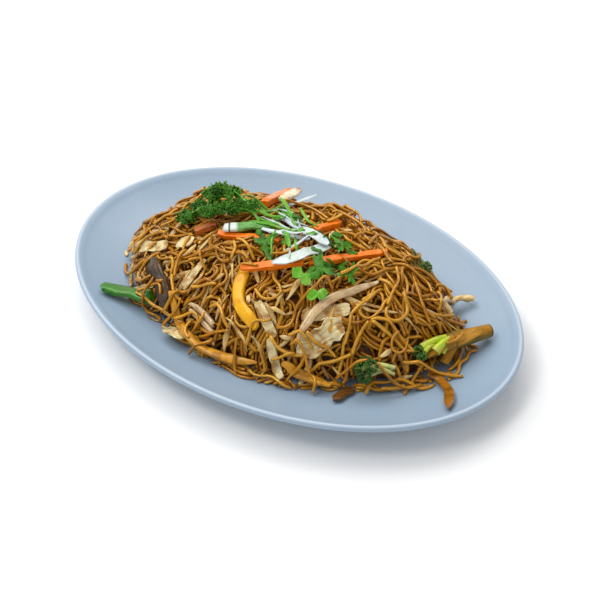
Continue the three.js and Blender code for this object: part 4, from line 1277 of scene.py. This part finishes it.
def sagging(lowest, step, limpness=0.03, passes=60):
    """The line over a row of rests: it touches some of them and sags a little between."""
    z = lowest.copy()
    sag = limpness * step * step
    for _ in range(passes):
        z[1:-1] = np.maximum(lowest[1:-1], (z[:-2] + z[2:]) / 2 - sag)
    eased = np.convolve(np.pad(z, 2, mode="edge"), [0.1, 0.22, 0.36, 0.22, 0.1], mode="valid")
    return np.maximum(eased, z - 0.5)


def press(x, y, z, radius):
    row, column = cell_of(x, y)
    for dr, dc, drop in zip(*ball(radius)):
        np.maximum.at(relief, (row + dr, column + dc), z + drop)


def lowered_roof(radius):
    """The highest place of a ball's middle that keeps the ball under every vegetable."""
    lowest = roof.copy()
    for dr, dc, drop in zip(*ball(radius + 0.2)):
        lowest = np.minimum(lowest, np.roll(roof, (dr, dc), (0, 1)) - drop)
    return lowest


slope_y, slope_x = np.gradient(outer_map, CELL)
steepness = 1 / np.sqrt(1 + slope_x**2 + slope_y**2)


def even_steps(points, step):
    """The same line with its points evenly spaced in space."""
    along = np.concatenate([[0], np.cumsum(np.linalg.norm(np.diff(points, axis=0), axis=1))])
    spots = np.linspace(0, along[-1], max(3, int(along[-1] / step) + 1))
    return np.stack([np.interp(spots, along, points[:, k]) for k in range(points.shape[1])], -1)


def lay_strand(plan, radius, slack, ceiling, furthest=0.0, shortest=10):
    """Lays the longest stretch of a plan that fits, and returns its line in space, or None."""
    x, y = plan.T
    row, column = cell_of(x, y)
    z = sagging(rest_height(x, y, radius), STEP)
    below = (outer_map[row, column] - z) * steepness[row, column]
    inside = edge_share[row, column] < skirt_end[row, column] + furthest
    fits = (below >= radius - slack) & (z <= ceiling[row, column]) & inside
    best, run = (0, 0), 0
    for i, good in enumerate(fits):
        run = run + 1 if good else 0
        if run > best[1] - best[0]:
            best = (i + 1 - run, i + 1)
    if best[1] - best[0] < shortest:
        return None
    x, y = x[best[0] : best[1]], y[best[0] : best[1]]
    z = sagging(rest_height(x, y, radius), STEP)
    press(x, y, z, radius)
    return np.stack([x, y, z], -1)


# %% [markdown]
# Fried noodles keep the crimp they were cooked with, so each plan wanders in waves, and many run side by
# side as they came out of the block. New ones start where the pile is still lowest.

# %% Plans of noodles
dice = np.random.default_rng(11)


def wandering(start, length, dice):
    """The plan of one noodle: crimped all along, drifting, and often curled round in its middle part."""
    s = np.arange(0, length, STEP)
    wave, slow = dice.uniform(13, 34), dice.uniform(50, 110)
    heading = dice.uniform(0, 2 * math.pi) + dice.uniform(-0.012, 0.012) * s
    heading += dice.uniform(0.1, 0.6) * np.sin(2 * math.pi * s / wave + dice.uniform(0, 6.3))
    heading += dice.uniform(0.2, 1.1) * np.sin(2 * math.pi * s / slow + dice.uniform(0, 6.3))
    if dice.uniform(0, 1) < 0.3:
        curl = np.exp(-(((s - dice.uniform(0.2, 0.8) * length) / dice.uniform(8, 22)) ** 2))
        heading += np.cumsum(curl) * STEP * dice.choice([-1, 1]) * dice.uniform(0.08, 0.22)
    x = start[0] + np.cumsum(np.cos(heading)) * STEP
    y = start[1] + np.cumsum(np.sin(heading)) * STEP
    middle = len(s) // 2
    shift = np.array(start) - np.array([x[middle], y[middle]])
    return np.stack([x, y], -1) + shift, heading


def roomy_places(dice, count):
    """Places where the pile is still low, drawn more often the lower it is."""
    room = np.clip((outer_map - relief) * steepness - 0.6, 0, 5) ** 2
    room = np.where((edge_share < skirt_end) & (roof > 900), room, 0)[::2, ::2]
    picks = dice.choice(room.size, count, p=room.ravel() / room.sum())
    rows, columns = np.unravel_index(picks, room.shape)
    return np.stack([AXIS_X[::2][columns], AXIS_Y[::2][rows]], -1)


# %% [markdown]
# Between the noodles lie shreds of cabbage and onion. They go down with them, so that noodles lie both
# under and over each one. A shred is wider than a noodle: it is pressed into the relief on both sides of
# its line.

# %% Layers of noodles and shreds
def lay_noodles(
    bundles, radius, lengths, dice, slacks=(0.3, 2.0), groups=(1, 1, 2, 2, 3, 4), shortest=7
):
    """Bundles of noodles that start out side by side, as line, shade and radius."""
    ceiling = lowered_roof(radius)
    laid = []
    for n in range(bundles):
        if n % 25 == 0:
            places = roomy_places(dice, 25)
        plan, heading = wandering(places[n % 25], dice.uniform(*lengths), dice)
        members = int(dice.choice(groups))
        slack, tint = dice.uniform(*slacks), dice.uniform(0, 1)
        for k in range(members):
            apart = (k - (members - 1) / 2) * 2.05 * radius + dice.uniform(-0.4, 0.4)
            shift = np.stack([-np.sin(heading), np.cos(heading)], -1) * apart
            first, last = (dice.uniform(0, 0.2, 2) * len(plan)).astype(int)
            shown = slice(first, len(plan) - last)
            line = lay_strand((plan + shift)[shown], radius, slack, ceiling, 0.02, shortest)
            if line is not None:
                shade = min(1, max(0, tint + dice.uniform(-0.25, 0.25)))
                laid.append((line, shade, radius * dice.uniform(0.92, 1.12)))
    return laid


def lay_shreds(count, widths, lengths, dice, slacks=(0.8, 3.2)):
    """Short flat pieces with a gentle bend, fewer of them right and behind, as line, shade and width."""
    ceiling = lowered_roof(1.0)
    laid = []
    for n in range(count):
        if n % 20 == 0:
            places = roomy_places(dice, 20)
        x, y = places[n % 20]
        if dice.uniform(0, 1) < max(np.clip((x - 20) / 80, 0, 0.75), np.clip((y - 10) / 50, 0, 0.8)):
            continue
        length, width = dice.uniform(*lengths), dice.uniform(*widths)
        s = np.arange(0, length, STEP)
        heading = dice.uniform(0, 2 * math.pi) + dice.uniform(-0.9, 0.9) * s / length
        across = np.stack([-np.sin(heading), np.cos(heading)], -1)
        steps = np.stack([np.cos(heading), np.sin(heading)], -1) * STEP
        plan = places[n % 20] + np.cumsum(steps, axis=0) - steps.sum(0) / 2
        line = lay_strand(plan, 1.0, dice.uniform(*slacks), ceiling, -0.01, 5)
        if line is None:
            continue
        across = across[: len(line)]
        for side in (-1, 1):
            beside = line[:, :2] + across * side * max(0, width / 2 - 0.8)
            press(beside[:, 0], beside[:, 1], line[:, 2] - 0.3, 0.8)
        laid.append((line, dice.uniform(0, 1), width))
    return laid


strands = lay_noodles(340, 1.16, (60, 150), dice, (-3.5, -0.5))
shreds = lay_shreds(60, (2.4, 4.8), (16, 34), dice)
strands += lay_noodles(440, 1.16, (50, 130), dice, (-1.8, 0.6))
shreds += lay_shreds(90, (2.0, 4.2), (16, 36), dice)
slivers = lay_shreds(90, (1.6, 3.0), (14, 34), dice)
strands += lay_noodles(900, 1.1, (20, 60), dice, (-1.2, 0.6), (1,))
strands += lay_noodles(700, 1.18, (70, 160), dice, (1.0, 2.6), (1, 1, 2), 20)
shreds += lay_shreds(60, (1.8, 3.8), (16, 36), dice)
strands += lay_noodles(300, 1.08, (14, 40), dice, (-0.4, 1.0), (1,))
strands += lay_noodles(700, 1.18, (70, 160), dice, (2.2, 3.8), (1, 2), 24)
print("noodles laid:", len(strands), "total metres:", round(sum(len(s[0]) for s in strands) * STEP / 1000, 1))
print("shreds laid:", len(shreds), "slivers:", len(slivers))
covered = ((outer_map - relief) * steepness)[(edge_share < 0.95) & (roof > 900)]
print("room left under the outer surface, mm:", np.round(np.percentile(covered, [5, 25, 50, 75, 95]), 1))

# %% [markdown]
# Long noodles run over the surface where no vegetable lies, drawn at random and more of them at the far side,
# and a last few shreds fill the lowest places. Some noodles make the heap what it is: two big loops at the
# right, the ones that sweep down to the front, and strays on the platter. Their corners were picked on the
# photograph and turned into millimetres with the fitted camera. They come last, so they also lie over the
# ends of vegetables, which looks as if those were tossed in with the noodles.

# %% Noodles with a place of their own
SWEEPS = [
    [[71, -18], [72, -22], [77, -23], [80, -21], [82, -13], [81, -6], [83, 2]],
    [[87, 6], [94, 0], [96, -4], [94, -11], [89, -14], [85, -11], [84, -4]],
    [[81, -26], [83, -20], [90, -16], [97, -15], [104, -15], [110, -15]],
    [[83, -24], [89, -20], [98, -18], [104, -19], [109, -17]],
    [[80, -41], [79, -36], [79, -30], [81, -25]],
    [[73, -40], [72, -33], [69, -26], [71, -19], [72, -10], [74, 1]],
    [[102, -40], [106, -36], [110, -32], [117, -27]],
    [[67, 24], [72, 29], [81, 32], [90, 33], [97, 27]],
    [[-53, -58], [-56, -52], [-57, -47], [-57, -40]],
    [[-55, -58], [-49, -64], [-45, -67], [-38, -67]],
    [[-91, -58], [-82, -61], [-73, -60]],
    [[-26, -26], [-20, -32], [-18, -39]],
    [[-25, -24], [-18, -24], [-7, -28]],
    [[-36, -60], [-27, -57], [-19, -54]],
    [[-17, -64], [-11, -63], [-5, -66], [-1, -69], [4, -70]],
    [[-18, -76], [-8, -74], [6, -72]],
    [[53, -16], [57, -8], [58, 7], [59, 22]],
    [[72, 21], [79, 13], [82, 1], [84, -8]],
    [[-107, -42], [-104, -36], [-95, -32], [-84, -30]],
    [[86, 23], [96, 14], [102, 10], [108, 7]],
    [[-103, -23], [-97, -15], [-87, -12]],
    [[32, -63], [38, -65], [47, -62], [55, -57]],
    [[60, -58], [65, -53], [73, -46], [80, -42]],
    [[7, -46], [15, -49], [23, -46], [25, -40]],
]
STRAYS = [
    [[106, -22], [114, -18], [123, -11], [131, -5], [139, 0]],
    [[126, 19], [127, 15], [126, 9], [123, 3]],
    [[108, 14], [111, 20], [114, 28]],
    [[-77, -72], [-66, -72], [-55, -73], [-41, -75], [-33, -75]],
    [[98, -40], [109, -35], [117, -29], [121, -21]],
    [[92, 41], [97, 46], [104, 44]],
]
COVERS = [
    (-66, -64, 20, 26), (-60, -58, 110, 18), (-84, -50, 60, 20), (-70, -68, 80, 16), (-4, -40, 20, 18),
    (20, -62, 60, 22), (58, 28, 150, 20), (50, -54, 10, 18), (84, -46, 30, 20), (104, 27, 120, 16),
    (72, 50, 60, 18), (-40, -44, 150, 14), (-30, -70, 30, 22), (-46, -70, 70, 14), (60, -36, 120, 16),
    (-62, -34, 100, 12), (-92, -40, 70, 12), (44, -66, 30, 16), (30, -70, 150, 16), (14, 34, 70, 14),
    (-40, -74, 60, 18), (-26, -80, 130, 16), (-10, -82, 50, 18), (14, -78, 120, 16), (55, -65, 60, 16),
    (66, -62, 140, 14), (62, -50, 30, 22), (54, -58, 160, 20), (104, -24, 30, 30), (-20, -72, 60, 12),
]


def drape(plan, radius, lightness):
    """A noodle that lies over everything under its plan."""
    x, y = plan.T
    z = sagging(rest_height(x, y, radius), STEP)
    press(x, y, z, radius)
    return np.stack([x, y, z], -1), lightness, radius


def told_plan(corners):
    steps = np.linalg.norm(np.diff(np.array(corners, float), axis=0), axis=1).sum() / STEP
    return smooth_line(corners, max(5, int(steps)))


def clear_of_pieces(plan):
    row, column = cell_of(plan[:, 0], plan[:, 1])
    return bool((piece_tops[row, column] == 0).mean() > 0.97)


relief = np.maximum(relief, piece_tops)
on_top = []
for n in range(260):
    turned, out = dice.uniform(0, 2 * math.pi), dice.uniform(0.3, 0.98)
    if not 0.1 < turned < 3.9 and dice.uniform(0, 1) < 0.3:
        continue
    middle = (HEAP_X + out * OUTER[0] * math.cos(turned), HEAP_Y + out * OUTER[1] * math.sin(turned))
    plan, _ = wandering(middle, dice.uniform(40, 95), dice)
    shares = edge_share[cell_of(plan[:, 0], plan[:, 1])]
    if clear_of_pieces(plan) and shares.max() < 1.04:
        on_top.append(drape(plan, 1.15, dice.uniform(0.1, 0.9)))
print("long noodles over the surface:", len(on_top))
shreds += lay_shreds(95, (1.9, 4.0), (16, 38), dice, (3.4, 5.6))
for corners in SWEEPS + STRAYS:
    on_top.append(drape(told_plan(corners), 1.2, dice.uniform(0.45, 1)))
for x, y, degrees, length in COVERS:
    plan, heading = wandering((x, y), length, dice)
    turn = math.radians(degrees) - heading[len(heading) // 2]
    spin = np.array([[math.cos(turn), math.sin(turn)], [-math.sin(turn), math.cos(turn)]])
    on_top.append(drape((plan - [x, y]) @ spin + [x, y], 1.1, dice.uniform(0.3, 1)))
strands += on_top
print("noodles on top of all:", len(on_top), "noodles in all:", len(strands), "shreds in all:", len(shreds))

# %% [markdown]
# The garnish is more than its big pieces: thin white shreds of leek, slim green threads and torn bits of
# dark leaf lie criss-cross on the crown of the heap. They are flat strands, laid last of all, by corners
# that were picked on the photograph in the same way.

# %% Thin garnish
WHITE_THREADS = [
    ([[7, -10], [13, -16], [20, -26]], 1.7), ([[-14, -4], [0, -5], [13, -2]], 2.4),
    ([[-17, 8], [-6, 10], [9, 6]], 3.2), ([[-25, 2], [-11, 5], [10, 2]], 1.8),
    ([[7, -15], [14, -7], [23, 5]], 2.4), ([[-22, 14], [-10, 18], [2, 14]], 2.0),
    ([[-6, 18], [4, 10], [20, 6]], 1.6), ([[-20, 13], [-6, 12], [5, 17]], 2.0),
]
GREEN_THREADS = [
    ([[-40, -6], [-33, -2], [-22, 1], [-10, 5]], 2.6), ([[-23, 22], [-15, 19], [-6, 15]], 3.2),
    ([[-15, 17], [-8, 14], [2, 7]], 2.2), ([[9, 1], [9, 12], [7, 26]], 2.0),
    ([[-3, -3], [4, -7], [10, -12]], 4.6), ([[-42, 1], [-32, 5], [-23, 12]], 2.2),
    ([[-32, -6], [-21, -4], [-11, 3]], 3.4), ([[24, 14], [35, 15], [44, 13]], 2.6),
    ([[30, 15], [39, 18]], 3.4), ([[-26, 12], [-12, 14], [0, 18]], 1.8),
    ([[-6, -6], [-2, -16], [4, -24]], 2.2), ([[-37, -5], [-27, 6], [-16, 23]], 1.8),
    ([[-37, 0], [-23, 4], [-12, 10]], 2.4), ([[-28, -7], [-15, 0], [-1, 3]], 2.2),
    ([[-27, 6], [-11, 6], [10, -1]], 1.6), ([[-43, 2], [-36, 10], [-23, 12]], 2.0),
    ([[8, -3], [13, -9], [20, -15]], 2.2), ([[-48, 2], [-35, 1], [-19, -4]], 2.0),
    ([[-11, 29], [-1, 22], [13, 16]], 2.4), ([[1, -10], [7, -6]], 4.4), ([[7, -3], [13, 1]], 4.0),
    ([[-2, 2], [4, 6]], 3.6), ([[16, -2], [22, 2]], 3.6), ([[31, -26], [37, -20]], 4.0),
]
HERB_BITS = [
    ([[-19, -9], [-13, -14]], 5.2), ([[-13, -12], [-8, -18]], 5.0), ([[-8, -17], [-3, -21]], 5.6),
    ([[-4, -20], [0, -25]], 4.6), ([[-1, -24], [4, -27], [8, -30]], 3.6),
    ([[-14, -18], [-6, -16]], 3.6), ([[21, 4], [27, 6]], 4.6), ([[26, 3], [33, 8]], 4.2),
    ([[24, 16], [30, 21]], 5.0), ([[31, 14], [38, 18]], 4.4), ([[42, 8], [47, 13]], 4.4),
    ([[39, -14], [45, -10]], 5.0), ([[25, -9], [32, -7]], 4.6), ([[42, -4], [48, 1]], 4.6),
    ([[-8, 15], [-2, 19]], 4.2), ([[37, -24], [32, -17]], 4.0), ([[36, -8], [41, -4]], 3.8),
    ([[28, 11], [35, 11]], 3.2),
]
threads = []
for group in (WHITE_THREADS, GREEN_THREADS, HERB_BITS):
    laid = [drape(told_plan(corners), 0.5, dice.uniform(0, 1))[:2] + (width,) for corners, width in group]
    threads.append(laid)
print("threads:", [len(group) for group in threads])

# %% [markdown]
# Each line becomes a tube: rings of corners at right angles to the line, joined one to the next and closed at
# both ends. A curve object with a bevel would give the same, but building the rings here lets every corner
# carry its noodle's own tint, how deep in the pile it lies and how far round to its underside it is. The
# colour later reads all three; depth and underside become painted shade.

# %% Strands into tubes
def frames_of(line, upward):
    """Directions sideways and up at each point of a line."""
    forward = np.gradient(line, axis=0)
    forward /= np.linalg.norm(forward, axis=1, keepdims=True)
    side = np.cross(forward, upward)
    side /= np.maximum(np.linalg.norm(side, axis=1, keepdims=True), 1e-6)
    return side, np.cross(side, forward)


def tube_rings(line, widths, heights, sides, turn):
    """Oval rings round a line, each as wide and as high as told and turned about the line. Also gives how far
    round to the underside each corner is, from 0 on top to 1."""
    side, up = frames_of(line, ground_normal(line[:, 0], line[:, 1], 6.0))
    angles = np.arange(sides) / sides * 2 * math.pi
    along_side = np.cos(angles)[None, :] * widths[:, None]
    along_up = np.sin(angles)[None, :] * heights[:, None]
    c, s = np.cos(turn)[:, None], np.sin(turn)[:, None]
    across, lift = along_side * c - along_up * s, along_side * s + along_up * c
    under = 0.5 - 0.5 * np.sin(angles[None, :] + turn[:, None])
    rings = line[:, None, :] + across[:, :, None] * side[:, None, :] + lift[:, :, None] * up[:, None, :]
    return rings.reshape(-1, 3), under.ravel()


def ring_faces(rings, sides, offset):
    i = np.arange(rings - 1)[:, None] * sides + offset
    j = np.arange(sides)[None, :]
    k = (j + 1) % sides
    quads = np.stack([i + j, i + k, i + k + sides, i + j + sides], -1).reshape(-1, 4)
    first = np.arange(sides)[::-1] + offset
    last = np.arange(sides) + offset + (rings - 1) * sides
    return quads.tolist() + [first.tolist(), last.tolist()]


def depth_of(points):
    """How far under the heap's outer surface each point lies, in mm."""
    row, column = cell_of(points[:, 0], points[:, 1])
    return np.clip((outer_map[row, column] - points[:, 2]) * steepness[row, column], 0, 9)


def woven(name, strands, section, sides):
    """One mesh of many strands. The section gives half widths, half heights and turn along a strand."""
    points, faces, tint, along, across, under = [], [], [], [], [], []
    count = 0
    for line, shade, size in strands:
        line = even_steps(line, STEP)
        widths, heights, turn = section(len(line), shade, size)
        rings, below = tube_rings(line, widths, heights, sides, turn)
        points.append(rings)
        under.append(below)
        faces += ring_faces(len(line), sides, count)
        tint.append(np.full(len(line) * sides, shade))
        along.append(np.repeat(np.arange(len(line)) * STEP + 370 * shade, sides))
        across.append(np.tile(np.cos(np.arange(sides) / sides * 2 * math.pi), len(line)))
        count += len(line) * sides
    points = np.concatenate(points)
    values = {"tint": tint, "along": along, "across": across, "under": under}
    values = {key: np.concatenate(parts) for key, parts in values.items()}
    return mesh_piece(name, points, faces, {**values, "depth": depth_of(points)})


def noodle_section(count, shade, radius):
    """Nearly round, a little uneven along the noodle, and bitten off at the ends."""
    s = np.arange(count)
    swell = 1 + 0.07 * np.sin(s * 0.23 + 40 * shade) + 0.04 * np.sin(s * 0.61 + 90 * shade)
    ends = np.where(np.minimum(s, s[::-1]) == 0, 0.7, 1.0)
    flat = 0.84 + 0.1 * math.sin(50 * shade)
    return radius * swell * ends, radius * swell * ends * flat, s * 0.11 * math.sin(70 * shade)


def shred_section(count, shade, width):
    """Flat and wavy, widest in the middle part, with torn ends."""
    s = np.linspace(0, 1, count)
    outline = np.sin(math.pi * (0.05 + 0.9 * s ** (0.6 + 0.8 * shade))) ** 0.6
    outline *= 1 + 0.1 * np.sin(s * 9 + 60 * shade)
    half = width / 2 * outline
    thick = (0.42 + 0.25 * shade) * (0.6 + 0.4 * outline)
    return half, thick, 0.5 * np.sin(s * 5 + 80 * shade)


share_of = len(strands) // 5 + 1
noodles = []
for i in range(5):
    noodles.append(woven(f"noodles_{i + 1}", strands[i * share_of : (i + 1) * share_of], noodle_section, 7))
cabbage = woven("cabbage_shreds", shreds, shred_section, 8)
onion = woven("onion_slivers", slivers, shred_section, 8)
white_threads = woven("white_threads", threads[0], shred_section, 8)
green_threads = woven("green_threads", threads[1], shred_section, 8)
herb_bits = woven("herb_bits", threads[2], shred_section, 8)
for piece in noodles + [cabbage, onion, white_threads, green_threads, herb_bits]:
    piece.data.calc_loop_triangles()
    print(piece.name, "triangles:", len(piece.data.loop_triangles))

# %% [markdown]
# Noodles fried in soy sauce run from pale gold to dark brown. The tint that each one carries sets its tone,
# streaks along it break the tone up, and patches and specks of sauce stain it. Painted shade: each noodle's
# underside, and every point by its depth in the pile, is darkened towards dark brown, standing in for the
# shade under the noodles and down in the pile. A low roughness that varies in patches gives the small bright
# glints of oil.

# %% Noodle finish
def noodle_finish(name, pale, gold, brown, sauce):
    material, tree, shader = blank_material(name, 0.3, 0.0, 0.15, gold, (1, 0.8, 0.34))
    shader.inputs["Specular IOR Level"].default_value = 0.9
    shader.inputs["IOR"].default_value = 1.6
    streak = placed(tree, STREAKS, Fineness=1.6, Stretch=0.10)
    patch = placed(tree, BLOTCHES, Per_Metre=46.0, Sharpness=3.2)
    speck = placed(tree, BLOTCHES, Per_Metre=420.0, Sharpness=3.0)
    add = lambda a, b, c: math_node(tree, c, a, b)
    tone = add(add(attribute_of(tree, "tint"), 0.55, "MULTIPLY"), add(streak, 0.75, "MULTIPLY"), "ADD")
    colour = mixed(tree, stepped(tree, tone, 0.2, 0.72), brown, gold)
    colour = mixed(tree, stepped(tree, tone, 0.62, 1.08), colour, pale)
    colour = mixed(tree, add(stepped(tree, patch, 0.5, 1.0), 0.5, "MULTIPLY"), colour, sauce)
    colour = mixed(tree, add(stepped(tree, speck, 0.7, 1.0), 0.35, "MULTIPLY"), colour, sauce)
    # Painted shade: the underside of each noodle is darkened towards dark brown, standing in for the shade
    # beneath it.
    below = add(stepped(tree, attribute_of(tree, "under"), 0.3, 0.85), 0.8, "MULTIPLY")
    colour = mixed(tree, below, colour, linear(134, 76, 6))
    # Painted shade: the deeper a point lies in the pile, the darker brown it is, standing in for the shade
    # down in the pile.
    depth = add(stepped(tree, attribute_of(tree, "depth"), 1.5, 6.5), 0.6, "MULTIPLY")
    tree.links.new(mixed(tree, depth, colour, linear(112, 62, 6)), shader.inputs["Base Color"])
    vary_gloss(tree, shader, speck, 0.3, 0.14)
    relief_from(tree, shader, add(streak, speck, "ADD"), 0.16)
    return material


NOODLE = noodle_finish(
    "fried noodle", linear(228, 172, 58), linear(194, 128, 12), linear(160, 94, 4), linear(134, 74, 2)
)
for piece in noodles:
    dress(piece, NOODLE, "noodle", "noodle_heap")
dress(cabbage, FINISHES["soaked"], "pale", "noodle_heap")
dress(onion, FINISHES["fried_onion"], "red_onion", "noodle_heap")
dress(white_threads, FINISHES["white"], "white", "white_shred_2")
dress(green_threads, FINISHES["bright_leaf"], "leaf", "coriander_leaf_2")
dress(herb_bits, FINISHES["leaf"], "leaf", "coriander_leaf_1")

# %% [markdown]
# Down between the noodles the core must read as more noodles in the dark, so it gets a coarse ropy pattern in
# very dark brown: painted shade, darker than the noodles, standing in for the shade down in the pile.

# %% Core finish
def core_finish():
    material, tree, shader = blank_material("packed noodles in painted shade", 0.5, 0.2)
    strand_like = placed(tree, BLOTCHES, Per_Metre=330.0, Sharpness=4.0)
    wide = placed(tree, BLOTCHES, Per_Metre=90.0, Sharpness=3.0)
    # Painted shade: these browns are darker than the noodles' own, standing in for the shade between them.
    colour = mixed(tree, strand_like, linear(92, 50, 4), linear(156, 94, 12))
    tree.links.new(mixed(tree, wide, colour, linear(96, 52, 6)), shader.inputs["Base Color"])
    relief_from(tree, shader, strand_like, 1.2)
    return material


dress(core, core_finish(), "noodle", "noodle_heap")

# %% [markdown]
# The platter has a smooth pale blue-grey glaze. A real glaze is never one flat tone: it drifts slowly in tone
# over the surface and carries faint mottling and pin specks. A paler band along the top of the lip is a
# painted highlight on its crest. The gloss comes from a clear coat whose roughness changes slowly over the
# surface.

# %% Glaze
def glaze_finish():
    material, tree, shader = blank_material("pale blue-grey glaze", 0.4, 0.2)
    shader.inputs["Coat Roughness"].default_value = 0.2
    cloud = placed(tree, BLOTCHES, Per_Metre=14.0, Sharpness=1.6)
    mottle = placed(tree, BLOTCHES, Per_Metre=160.0, Sharpness=1.4)
    speck = placed(tree, BLOTCHES, Per_Metre=900.0, Sharpness=5.0)
    colour = mixed(tree, cloud, linear(144, 167, 188), linear(155, 177, 197))
    colour = mixed(tree, math_node(tree, "MULTIPLY", mottle, 0.35), colour, linear(140, 163, 185))
    pin = math_node(tree, "MULTIPLY", stepped(tree, speck, 0.93, 1.0), 0.3)
    colour = mixed(tree, pin, colour, linear(140, 156, 174))
    place = tree.nodes.new("ShaderNodeTexCoord")
    split = tree.nodes.new("ShaderNodeSeparateXYZ")
    tree.links.new(place.outputs["Object"], split.inputs[0])
    # Painted highlight: the top 0.9 mm of the lip is mixed halfway towards a pale blue-white.
    lip_highlight = stepped(tree, split.outputs["Z"], (HEIGHT - 0.9) * MM, HEIGHT * MM)
    colour = mixed(tree, math_node(tree, "MULTIPLY", lip_highlight, 0.5), colour, linear(206, 218, 230))
    tree.links.new(colour, shader.inputs["Base Color"])
    vary_gloss(tree, shader, cloud, 0.48, 0.36)
    relief_from(tree, shader, mottle, 0.02)
    return material


dress(plate, glaze_finish(), "porcelain", "plate")

# %% [markdown]
# The dish stands on a plain pale floor, wide enough to fill the picture.

# %% Floor
start_fresh()
bpy.ops.mesh.primitive_plane_add(size=6, location=(0, 0, 0))
floor = bpy.context.object
floor.name = "floor"
paper, _, paper_shader = blank_material("pale floor", 0.8)
paper_shader.inputs["Base Color"].default_value = (0.95, 0.95, 0.95, 1)
floor.data.materials.append(paper)

# %% [markdown]
# The camera stands where the photographer stood: a little over forty degrees up, towards the near right of
# the platter. Its place and lens were fitted to the rim's oval and to the outline of the heap.

# %% Camera
target = Vector((16.064, -8.923, 20.0)) * MM
azimuth, elevation, distance = math.radians(36.013), math.radians(41.235), 0.700
away = Vector(
    (math.sin(azimuth) * math.cos(elevation), -math.cos(azimuth) * math.cos(elevation), math.sin(elevation))
)
camera = bpy.data.objects.new("camera", bpy.data.cameras.new("camera"))
bpy.context.scene.collection.objects.link(camera)
camera.location = target + away * distance
camera.rotation_euler = (-away).to_track_quat("-Z", "Y").to_euler()
camera.data.lens, camera.data.sensor_width = 61.41, 36
bpy.context.scene.camera = camera

# %% [markdown]
# A broad softbox on the left is the key. One behind brings out the gloss of the sauce, and a small one near
# the camera puts glints on the noodles. A bright even surround keeps the shadows soft and the floor white.

# %% Light
AIM = Vector((0, 0, 0.02))


def softbox(name, size, power, place):
    light = bpy.data.lights.new(name, "AREA")
    light.size, light.energy = size, power
    lamp = bpy.data.objects.new(name, light)
    bpy.context.scene.collection.objects.link(lamp)
    lamp.location = place
    lamp.rotation_euler = (AIM - Vector(place)).to_track_quat("-Z", "Y").to_euler()


softbox("key", 1.2, 11, (-0.8, 0.05, 1.25))
softbox("back", 0.8, 5.5, (-0.3, 0.8, 1.3))
softbox("glint", 0.4, 4, (-0.35, -0.6, 1.25))
world = bpy.data.worlds.new("studio")
bpy.context.scene.world = world
world.use_nodes = True
world.node_tree.nodes["Background"].inputs["Color"].default_value = (1, 0.99, 0.98, 1)
world.node_tree.nodes["Background"].inputs["Strength"].default_value = 0.58
bpy.context.scene.view_settings.view_transform = "Standard"
